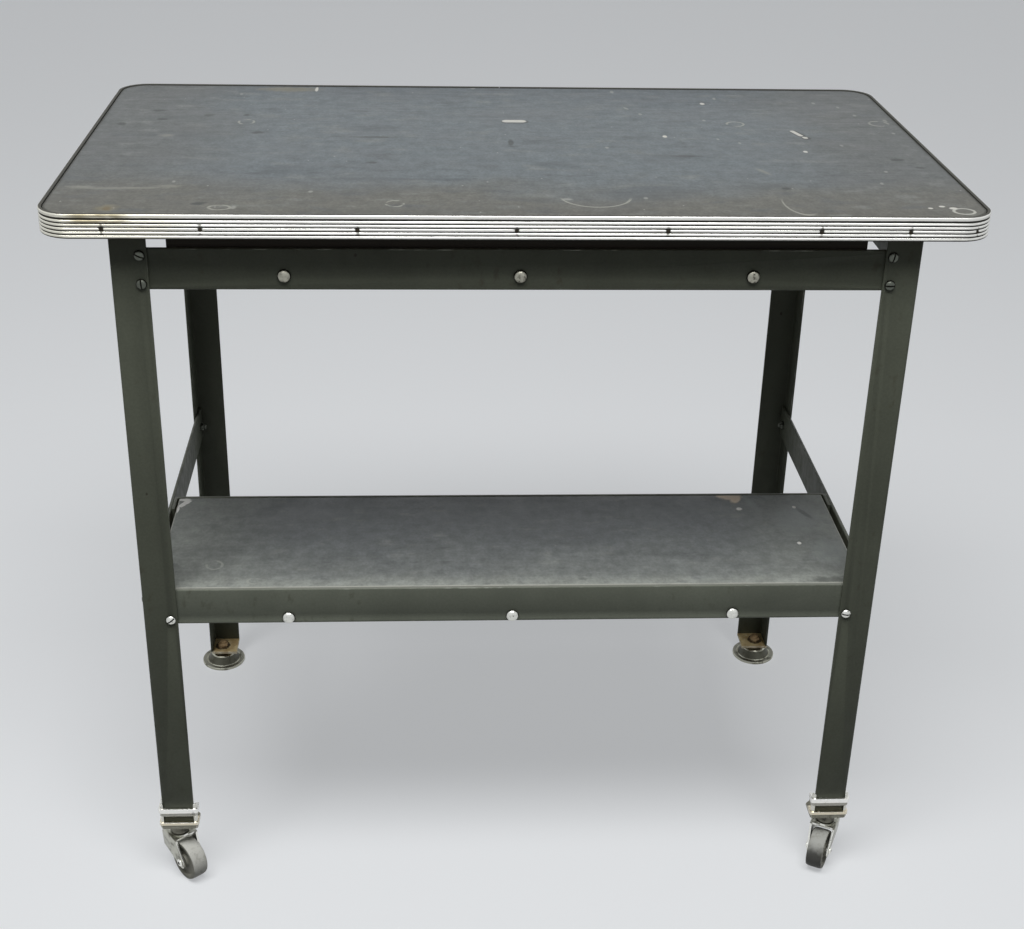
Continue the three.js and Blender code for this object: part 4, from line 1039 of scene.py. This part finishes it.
def add_trim():
    node = "edge_trim"
    section = trim_section(*levels(node))
    verts = []
    grime_and_shade_levels = []
    for x, y, inward, gap in trim_stations():
        dimple = max(0.0, 1 - (gap / NAIL_DIMPLE) ** 2)
        for offset, z, dirt, rib in section:
            pressed = DIMPLE_DEPTH * dimple if rib == NAIL_RIB else 0.0
            inset = max(offset, pressed)
            verts.append((x + inset * inward[0], y + inset * inward[1], z))
            # Ribs next to a nail are painted dark round its dimple: dirt and painted shade.
            soiled_and_shaded = NAIL_GRIME_AND_SHADE.get(abs(rib - NAIL_RIB), 0.0) * dimple
            grime_and_shade_levels.append(max(dirt, soiled_and_shaded))
    mesh = bpy.data.meshes.new(node + "_look")
    faces = skin(len(verts), len(section))
    mesh.from_pydata([(x * MM, y * MM, z * MM) for x, y, z in verts], [], faces)
    # This attribute holds dirt and painted shade, as above.
    layer = mesh.attributes.new("dirt", "FLOAT", "POINT")
    layer.data.foreach_set("value", grime_and_shade_levels)
    settle(mesh)
    stand_in(node, mesh, [ALUMINIUM], TRIM_SHARP)
    rib = [z for _, z, _, index in section if index == NAIL_RIB]
    add_nails((rib[0] + rib[-1]) / 2)


def add_nails(height):
    half_x = TOP_LENGTH / 2
    half_y = TOP_DEPTH / 2
    groups = {
        "front": [((x, -half_y, height), 0) for x in NAILS_FRONT],
        "rear": [((x, half_y, height), 180) for x in NAILS_REAR],
        "left": [((-half_x, y, height), -90) for y in NAILS_SIDE],
        "right": [((half_x, y, height), 90) for y in NAILS_SIDE],
    }
    bend = (1 - CORNER_NAIL_STEP / CORNER_STEPS) * 90
    bend_x = half_x - TOP_CORNER * (1 - math.sin(math.radians(bend)))
    bend_y = half_y - TOP_CORNER * (1 - math.cos(math.radians(bend)))
    groups["front"].append(((bend_x, -bend_y, height), bend))
    head = [(0, -NAIL_LENGTH), (NAIL_RADIUS * 0.5, -NAIL_LENGTH), (NAIL_RADIUS, -1.0)]
    head.extend(arc(NAIL_RADIUS, -0.8, 0.6, 4))
    points, quads = lathe(head, NAIL_STEPS)
    for side, nails in groups.items():
        verts = []
        faces = []
        for place, angle in nails:
            turn = Matrix.Translation(place) @ spin(angle, "Z") @ spin(90, "X")
            faces.extend([[i + len(verts) for i in quad] for quad in quads])
            verts.extend(turn @ Vector(point) for point in points)
        add_extra(f"trim_nails_{side}", (verts, faces), NAIL)


add_top_sheet("tabletop_core", CORE_INSET, PLYWOOD)
add_top_sheet("tabletop_linoleum", LINOLEUM_INSET, LINOLEUM_TOP)
add_trim()


# Frame, boards and shelf

STEEL = [f"{side}_apron" for side in ("front", "rear", "left", "right")]
STEEL += [f"{end}_{side}_leg" for end in ("front", "rear") for side in SIDES]
STEEL += ["left_side_rail", "right_side_rail", "shelf_rear_rail"]
for node in STEEL:
    refine(node, [PAINT, PAINT_EDGE], STEEL_EDGE)
# The shelf's front rail takes the paler copy of the paint: painted light.
refine("shelf_front_rail", [PAINT_PAINTED_LIGHT, PAINT_PAINTED_LIGHT_EDGE], STEEL_EDGE)
for node in ("front_top_batten", "rear_top_batten", "shelf_front_cleat", "shelf_rear_cleat"):
    refine(node, [SHADED_BATTEN_WOOD], WOOD_EDGE)
refine("shelf_board", [PLYWOOD], BOARD_EDGE)
refine("shelf_linoleum", [LINOLEUM_SHELF, LINOLEUM_RUBBED_EDGE_HIGHLIGHT], LINOLEUM_ROLL)


# Bolts

TOWARDS = {
    "front": spin(90, "X"),
    "rear": spin(-90, "X"),
    "left": spin(-90, "Y"),
    "right": spin(90, "Y"),
}
# Axis and way that each side faces
OUT = {"front": (1, -1), "rear": (1, 1), "left": (0, -1), "right": (0, 1)}


def bolt_profile(size, grip, tail):
    """Threaded end, shank and domed head of a bolt that clamps that much."""
    head, dome = size
    shank = BOLT_SHANK / 2
    end = -grip - tail
    z = end + BOLT_TIP
    profile = [(0, end), (shank - BOLT_TIP, end), (shank, z)]
    while z + THREAD_PITCH < -grip:
        profile.append((shank - THREAD_DEPTH, z + THREAD_PITCH / 2))
        profile.append((shank, z + THREAD_PITCH))
        z += THREAD_PITCH
    profile += [(shank, -0.1), (head / 2 - 0.3, 0), (head / 2, HEAD_EDGE)]
    return profile + arc(head / 2, HEAD_EDGE, dome - HEAD_EDGE, 9)[1:]


def cut_slot(mesh, place, size):
    """Cuts a screwdriver slot across a bolt's head, along the X of its place."""
    head_width, dome = size
    half = Vector((head_width, BOLT_SLOT / 2, BOLT_SLOT_DEPTH))
    lift = Matrix.Translation((0, 0, dome))
    work = bmesh.new()
    bmesh.ops.create_cube(work, size=2, matrix=place @ lift @ Matrix.Diagonal((*half, 1)))
    cutter_mesh = bpy.data.meshes.new("slot_cutter")
    work.to_mesh(cutter_mesh)
    work.free()
    cutter_mesh.transform(METRES)
    cutter = bpy.data.objects.new("slot_cutter", cutter_mesh)
    head = bpy.data.objects.new("slot_head", mesh)
    for thing in (cutter, head):
        bpy.context.scene.collection.objects.link(thing)
    modifier = head.modifiers.new("slot", "BOOLEAN")
    modifier.object = cutter
    modifier.operation = "DIFFERENCE"
    modifier.solver = "EXACT"
    graph = bpy.context.evaluated_depsgraph_get()
    made = bpy.data.meshes.new_from_object(head.evaluated_get(graph))
    for thing in (cutter, head):
        bpy.data.objects.remove(thing)
    return made


def hexagon(radius, angle):
    """Radius of a hexagon whose flats are NUT_FLATS apart, no further out than radius."""
    sector = math.tau / 6
    off = (angle + sector / 2) % sector - sector / 2
    return min(radius, NUT_FLATS / 2 / math.cos(off))


def add_nut(name, place, grip, material, washer):
    seat = -grip
    corner = NUT_FLATS / math.sqrt(3)
    if washer:
        rim = WASHER_RADIUS - WASHER_EDGE
        ring = [(NUT_BORE, seat), (rim, seat), (WASHER_RADIUS, seat - WASHER_EDGE)]
        seat -= WASHER_HEIGHT
        ring += [(WASHER_RADIUS, seat + WASHER_EDGE), (rim, seat), (NUT_BORE, seat), ring[0]]
        add_extra(name + "_washer", lathe(ring), ZINC, place)
    foot = seat - NUT_HEIGHT
    ring = [
        (NUT_BORE, seat),
        (corner - NUT_CHAMFER, seat),
        (corner, seat - NUT_CHAMFER * 0.6),
        (corner, foot + NUT_CHAMFER * 0.6),
        (corner - NUT_CHAMFER, foot),
        (NUT_BORE + 0.4, foot),
        (NUT_BORE, foot + 0.4),
        (NUT_BORE, seat),
    ]
    add_extra(name + "_nut", lathe(ring, ROUND_STEPS, hexagon), material, place)


def add_bolt(name, seat, facing, grip, size, look, node=None, tail=BOLT_TAIL, washer=False):
    slot, material, grime_and_shade_rim, slotted = look
    angle = SLOT_ANGLES.get(node, SLOT_ANGLE)
    place = Matrix.Translation(seat) @ TOWARDS[facing] @ spin(angle, "Z")
    mesh = mesh_of(name, *lathe(bolt_profile(size, grip, tail)), place)
    if slotted:
        mesh = cut_slot(mesh, place, size)
        mesh.name = name
        # The slot's floor and walls take the dark material: painted shade.
        floor = size[1] - BOLT_SLOT_DEPTH - 0.1
        half = BOLT_SLOT / 2 + 0.01
        paint_faces(mesh, place, 1, lambda spot, _: spot.z > floor and abs(spot.y) < half)
    # The rim of the head takes the dark material: dirt and painted shade where it meets the part
    # below.
    rim = size[0] / 2 - grime_and_shade_rim
    paint_faces(mesh, place, 1, lambda spot, _: math.hypot(spot.x, spot.y) > rim)
    add_piece(name, mesh, [material, BOLT_GRIME_AND_SHADE], "frame", [node] if node else ())
    add_nut(name, place, grip, material, washer)


def seat_of(node, facing, size):
    """Middle of the face that a CAD bolt's head seats on, and the thickness that it clamps,
    which is its length less its head and tail."""
    low, high = span(node)
    seat = (low + high) / 2
    axis, way = OUT[facing]
    seat[axis] = (high if way > 0 else low)[axis] - way * size[1]
    return seat, high[axis] - low[axis] - size[1] - BOLT_TAIL


# Looks of bolts: slot, material, width of the rim of dirt and painted shade, and whether the head is
# slotted
BRIGHT = ("zinc", ZINC, 0.5, False)
AGED_AND_SHADED = ("zinc", ZINC_AGED_AND_SHADED, 0.8, False)
BRIGHT_SLOTTED = ("zinc", ZINC, 0.3, True)
PAINTED = ("painted_bolt", BOLT_PAINT, 0.8, True)
THIRDS = ("left", "middle", "right")
CAD_BOLTS = [
    (f"{end}_apron_bolt_{third}", end, STRIP_BOLT, AGED_AND_SHADED)
    for end in ("front", "rear")
    for third in THIRDS
]
CAD_BOLTS += [(f"shelf_rail_bolt_{third}", "front", STRIP_BOLT, BRIGHT) for third in THIRDS]
for side in SIDES:
    CAD_BOLTS += [
        (f"front_{side}_leg_bolt_upper", "front", LEG_BOLT, PAINTED),
        (f"front_{side}_leg_bolt_lower", "front", LEG_BOLT, PAINTED),
        (f"front_{side}_leg_bolt_shelf", "front", LEG_BOLT, BRIGHT_SLOTTED),
        (f"{side}_side_rail_bolt", side, LEG_BOLT, PAINTED),
    ]
for node, facing, size, look in CAD_BOLTS:
    seat, grip = seat_of(node, facing, size)
    add_bolt(node + "_look", seat, facing, grip, size, look, node, washer=size is STRIP_BOLT)

# Bolts and rivets on the sides and the rear that the CAD leaves out
for side, sign in SIDES.items():
    for row in ("upper", "lower"):
        z = seat_of(f"front_{side}_leg_bolt_{row}", "front", LEG_BOLT)[0].z
        for end, way in (("front", -1), ("rear", 1)):
            seat = (sign * LEG_X, way * (LEG_Y - LEG_BOLT_INSET), z)
            add_bolt(f"{end}_{side}_side_bolt_{row}", seat, side, LEG_GRIP, LEG_BOLT, PAINTED)
        seat = (sign * (LEG_X - LEG_BOLT_INSET), LEG_Y, z)
        add_bolt(f"rear_{side}_leg_bolt_{row}", seat, "rear", LEG_GRIP, LEG_BOLT, PAINTED)
    seat = (sign * LEG_X, SIDE_BOLT_INSET - LEG_Y, RAIL_MIDDLE)
    name = f"{side}_side_rail_front_bolt"
    add_bolt(name, seat, side, LEG_GRIP, LEG_BOLT, PAINTED, tail=SHORT_TAIL)
    place = Matrix.Translation((sign * (LEG_X - LEG_SHEET), TAB_RIVET_Y, RAIL_MIDDLE))
    head = [(0, -STRIP_SHEET), (BOLT_SHANK / 2, -STRIP_SHEET), (BOLT_SHANK / 2, 0)]
    head += arc(RIVET_HEAD / 2, 0, RIVET_DOME, 8)
    place = place @ TOWARDS[side]
    add_extra(f"{side}_tab_rivet", lathe(head), BOLT_PAINT, place)


# Rear feet


def add_rear_foot(side):
    plate = refine(f"rear_{side}_foot_plate", [RUST_WITH_PAINTED_LIGHT, RUST_EDGE_HIGHLIGHT], PLATE_EDGE)
    # The plate's side faces take the paler edge rust: a painted highlight.
    paint_faces(plate.data, Matrix.Identity(4), 1, lambda _, normal: abs(normal.z) < 0.5)
    ceiling = GLIDE_HEIGHT - GLIDE_SHEET
    channel = GLIDE_LIP - GLIDE_CHANNEL
    bell = [
        (GLIDE_RIM - GLIDE_EDGE, 0),
        (GLIDE_RIM, GLIDE_EDGE),
        (GLIDE_RIM, GLIDE_LIP),
        (GLIDE_RIM - GLIDE_BRIM, GLIDE_LIP),
        (GLIDE_FOOT, channel),
        (GLIDE_CROWN + GLIDE_SHOULDER, GLIDE_HEIGHT - GLIDE_SHOULDER),
        (GLIDE_CROWN, GLIDE_HEIGHT),
        (GLIDE_BORE + 1, GLIDE_HEIGHT),
        (GLIDE_BORE, GLIDE_HEIGHT - 0.4),
    ]
    inside = [
        (GLIDE_BORE, ceiling),
        (GLIDE_CROWN - GLIDE_SHOULDER, ceiling),
        (GLIDE_FOOT - GLIDE_SHOULDER, channel - GLIDE_SHOULDER),
        (GLIDE_RIM - GLIDE_SHEET, 0),
        (GLIDE_RIM - GLIDE_EDGE, 0),
    ]
    bell = rounded(bell, 0.9) + inside
    add_turned(f"rear_{side}_glide", bell, GLIDE_STEEL, WHEEL_STEPS)
    stem = [(0, FLANGE_LOW), (STEM_FLANGE, FLANGE_LOW), (STEM_FLANGE, FLANGE_HIGH)]
    stem += [(STEM_RADIUS, FLANGE_HIGH), (STEM_RADIUS, COLLAR_LOW), (STEM_COLLAR, COLLAR_LOW)]
    stem += [(STEM_COLLAR, COLLAR_TOP), (STEM_RADIUS, COLLAR_TOP), (STEM_RADIUS, NUT_TOP + 1)]
    stem = rounded(stem, 0.4) + arc(STEM_RADIUS, NUT_TOP + 1, 1)[1:]
    add_turned(f"rear_{side}_glide_stem", stem, RUST_DARK)
    wall = PLATE_TOP + NUT_WALL
    nut = [(GLIDE_BORE, PLATE_TOP), (GLIDE_NUT, PLATE_TOP)]
    nut += arc(GLIDE_NUT, wall, NUT_TOP - PLATE_TOP - NUT_WALL, 8, GLIDE_BORE)
    nut += [(GLIDE_BORE, NUT_TOP - 0.5), (GLIDE_BORE, PLATE_TOP)]
    add_turned(f"rear_{side}_glide_nut", nut, RUST_DARK)


# Casters


def add_wheel(node, place, material):
    web = WHEEL_HALF - WHEEL_RECESS
    rim = WHEEL_RADIUS - WHEEL_RIM
    half = [
        (AXLE_BORE, WHEEL_HALF),
        (WHEEL_HUB, WHEEL_HALF),
        (WHEEL_HUB + WHEEL_EDGE, web),
        (rim - WHEEL_EDGE, web),
        (rim, WHEEL_HALF),
        (WHEEL_RADIUS - WHEEL_EDGE, WHEEL_HALF),
    ]
    side_face = rounded(half, 0.7)
    tread = []
    for step in range(TREAD_STEPS + 1):
        t = step / TREAD_STEPS * 2 - 1
        tread.append((WHEEL_RADIUS - WHEEL_CROWN * t**6, -t * (WHEEL_HALF - 0.6)))
    profile = side_face + tread + [(r, -z) for r, z in side_face[::-1]] + [side_face[0]]
    mesh = mesh_of(node + "_look", *lathe(profile, WHEEL_STEPS), place)
    inverse = (METRES @ place).inverted()
    worn = []
    for vertex in mesh.vertices:
        local = inverse @ vertex.co
        worn.append(1.0 if math.hypot(local.x, local.y) > WHEEL_RADIUS - 0.7 else 0.0)
    layer = mesh.attributes.new("tread", "FLOAT", "POINT")
    layer.data.foreach_set("value", worn)
    stand_in(node, mesh, [material])


def add_race(node):
    low, high = [corner.z for corner in span(node)]
    race = [
        (RACE_BORE, low),
        (7.2, low),
        (RACE_RIM, low + 1.5),
        (RACE_RIM, low + 3),
        (6.0, low + 6),
        (RACE_WAIST, (low + high) / 2),
        (RACE_WAIST, high - 4),
        (6.4, high - 3),
        (RACE_RIM, high - 1.6),
        (RACE_RIM, high),
        (RACE_BORE, high),
        (RACE_BORE, low),
    ]
    add_turned(node, rounded(race, 0.8), NICKEL_SHADED)


def add_kingpin(node):
    low, high = [corner.z for corner in span(node)]
    foot = low + KINGPIN_DOME
    head = high - KINGPIN_DOME
    pin = [(r, 2 * foot - z) for r, z in arc(KINGPIN_HEAD, foot, KINGPIN_DOME, 8)][::-1]
    pin += [(KINGPIN_SHANK, foot), (KINGPIN_SHANK, head)]
    pin += arc(KINGPIN_HEAD, head, KINGPIN_DOME, 8)
    add_turned(node, pin, NICKEL)


def add_axle(node, place):
    end = [
        (AXLE_HEAD, AXLE_SEAT),
        (AXLE_HEAD, AXLE_SEAT + 0.5),
        (AXLE_DIMPLE + 1, AXLE_SEAT + AXLE_DOME),
        (AXLE_DIMPLE, AXLE_SEAT + AXLE_DOME),
        (AXLE_DIMPLE - 0.6, AXLE_SEAT + 0.3),
        (0, AXLE_SEAT + 0.3),
    ]
    end = rounded(end, 0.4)
    axle = [(r, -z) for r, z in end][::-1]
    axle += [(AXLE_SHANK, -AXLE_SEAT), (AXLE_SHANK, AXLE_SEAT)] + end
    mesh = mesh_of(node + "_look", *lathe(axle), place)
    # The dimple in each axle end takes the dark material: painted shade.
    paint_faces(mesh, place, 1, lambda spot, _: math.hypot(spot.x, spot.y) < AXLE_DIMPLE)
    stand_in(node, mesh, [NICKEL_RUBBED_HIGHLIGHT, BOLT_GRIME_AND_SHADE])


def add_caster(side, sign):
    caster = f"front_{side}_caster"
    refine(f"{caster}_socket", [SOCKET_NICKEL, NICKEL_RUBBED_HIGHLIGHT], SOCKET_EDGE, 30, 3)
    fork = refine(f"{caster}_yoke", [NICKEL, NICKEL_RUBBED_HIGHLIGHT], YOKE_EDGE, 40, 3)
    add_race(f"{caster}_race")
    add_kingpin(f"{caster}_kingpin")
    low, high = span(f"{caster}_wheel")
    turn = spin(-90 - sign * CASTER_SWIVEL[side], "Z") @ spin(90, "X")
    place = Matrix.Translation((low + high) / 2) @ turn
    axis = place.to_3x3() @ Vector((0, 0, 1))
    # The yoke's cut edges take the near-white nickel: painted highlight, with rubbed wear.
    paint_faces(fork.data, place, 1, lambda _, n: abs(n.dot(axis)) < 0.4 and abs(n.z) < 0.7)
    add_wheel(f"{caster}_wheel", place, WHEELS[side])
    add_axle(f"{caster}_axle", place)


for side, sign in SIDES.items():
    add_rear_foot(side)
    add_caster(side, sign)


# Floor, light and camera

FLOOR_HALF = 15  # these sizes are in metres
FLOOR_LEVEL = -0.0003
FLOOR_SEEN = (0.55, 0.56, 0.57, 1)
FLOOR_LIT = (0.13, 0.13, 0.13, 1)
FLOOR_GLOW = (0.4, 0.41, 0.42, 1)
BLACK = (0, 0, 0, 1)
WORLD_SEEN = (0.8, 0.82, 0.84, 1)
WORLD_LIT = (0.062, 0.064, 0.066, 1)
LAMP_PLACE = (-0.2, -1.05, 2.75)
LAMP_AIM = (0, 0, 0.4)
LAMP_SIZE = (2.4, 1.0)
LAMP_POWER = 52.5
CAMERA_PLACE = (-0.0790776, -1.4198847, 1.0564874)
CAMERA_ANGLES = (63.4806, -1.1864, -2.9465)
CAMERA_LENS = 56.17
CAMERA_SENSOR = 36

scene = bpy.context.scene


def add_object(name, data):
    made = bpy.data.objects.new(name, data)
    scene.collection.objects.link(made)
    return made


def seen_or_lit(tree, seen, lit):
    """A colour that the camera and mirrors see, and another for the light that it sends on."""
    path = tree.nodes.new("ShaderNodeLightPath")
    shown = path.outputs["Is Camera Ray"]
    for ray in ("Is Glossy Ray", "Is Transmission Ray"):
        total = tree.nodes.new("ShaderNodeMath")
        total.operation = "MAXIMUM"
        tree.links.new(shown, total.inputs[0])
        tree.links.new(path.outputs[ray], total.inputs[1])
        shown = total.outputs[0]
    mix = tree.nodes.new("ShaderNodeMix")
    mix.data_type = "RGBA"
    tree.links.new(shown, mix.inputs[0])
    mix.inputs[6].default_value = lit
    mix.inputs[7].default_value = seen
    return mix.outputs[2]


def add_floor():
    mesh = bpy.data.meshes.new("floor")
    signs = ((-1, -1), (1, -1), (1, 1), (-1, 1))
    corners = [(x * FLOOR_HALF, y * FLOOR_HALF, FLOOR_LEVEL) for x, y in signs]
    mesh.from_pydata(corners, [], [(0, 1, 2, 3)])
    floor = add_object("floor", mesh)
    material = bpy.data.materials.new("floor")
    material.use_nodes = True
    tree = material.node_tree
    surface = tree.nodes["Principled BSDF"]
    surface.inputs["Roughness"].default_value = 0.9
    surface.inputs["Specular IOR Level"].default_value = 0.1
    tree.links.new(seen_or_lit(tree, FLOOR_SEEN, FLOOR_LIT), surface.inputs["Base Color"])
    tree.links.new(seen_or_lit(tree, FLOOR_GLOW, BLACK), surface.inputs["Emission Color"])
    surface.inputs["Emission Strength"].default_value = 1
    mesh.materials.append(material)


def add_lamp():
    light = bpy.data.lights.new("overhead", "AREA")
    light.shape = "RECTANGLE"
    light.size, light.size_y = LAMP_SIZE
    light.energy = LAMP_POWER
    lamp = add_object("overhead", light)
    lamp.location = LAMP_PLACE
    aim = Vector(LAMP_AIM) - Vector(LAMP_PLACE)
    lamp.rotation_euler = aim.to_track_quat("-Z", "Y").to_euler()


def add_world():
    world = bpy.data.worlds.new("studio")
    world.use_nodes = True
    scene.world = world
    tree = world.node_tree
    colour = seen_or_lit(tree, WORLD_SEEN, WORLD_LIT)
    tree.links.new(colour, tree.nodes["Background"].inputs["Color"])


def add_camera():
    camera = bpy.data.cameras.new("camera")
    camera.lens = CAMERA_LENS
    camera.sensor_width = CAMERA_SENSOR
    view = add_object("camera", camera)
    view.location = CAMERA_PLACE
    view.rotation_euler = [math.radians(angle) for angle in CAMERA_ANGLES]
    scene.camera = view


add_floor()
add_world()
add_lamp()
add_camera()
scene.view_settings.view_transform = "Standard"
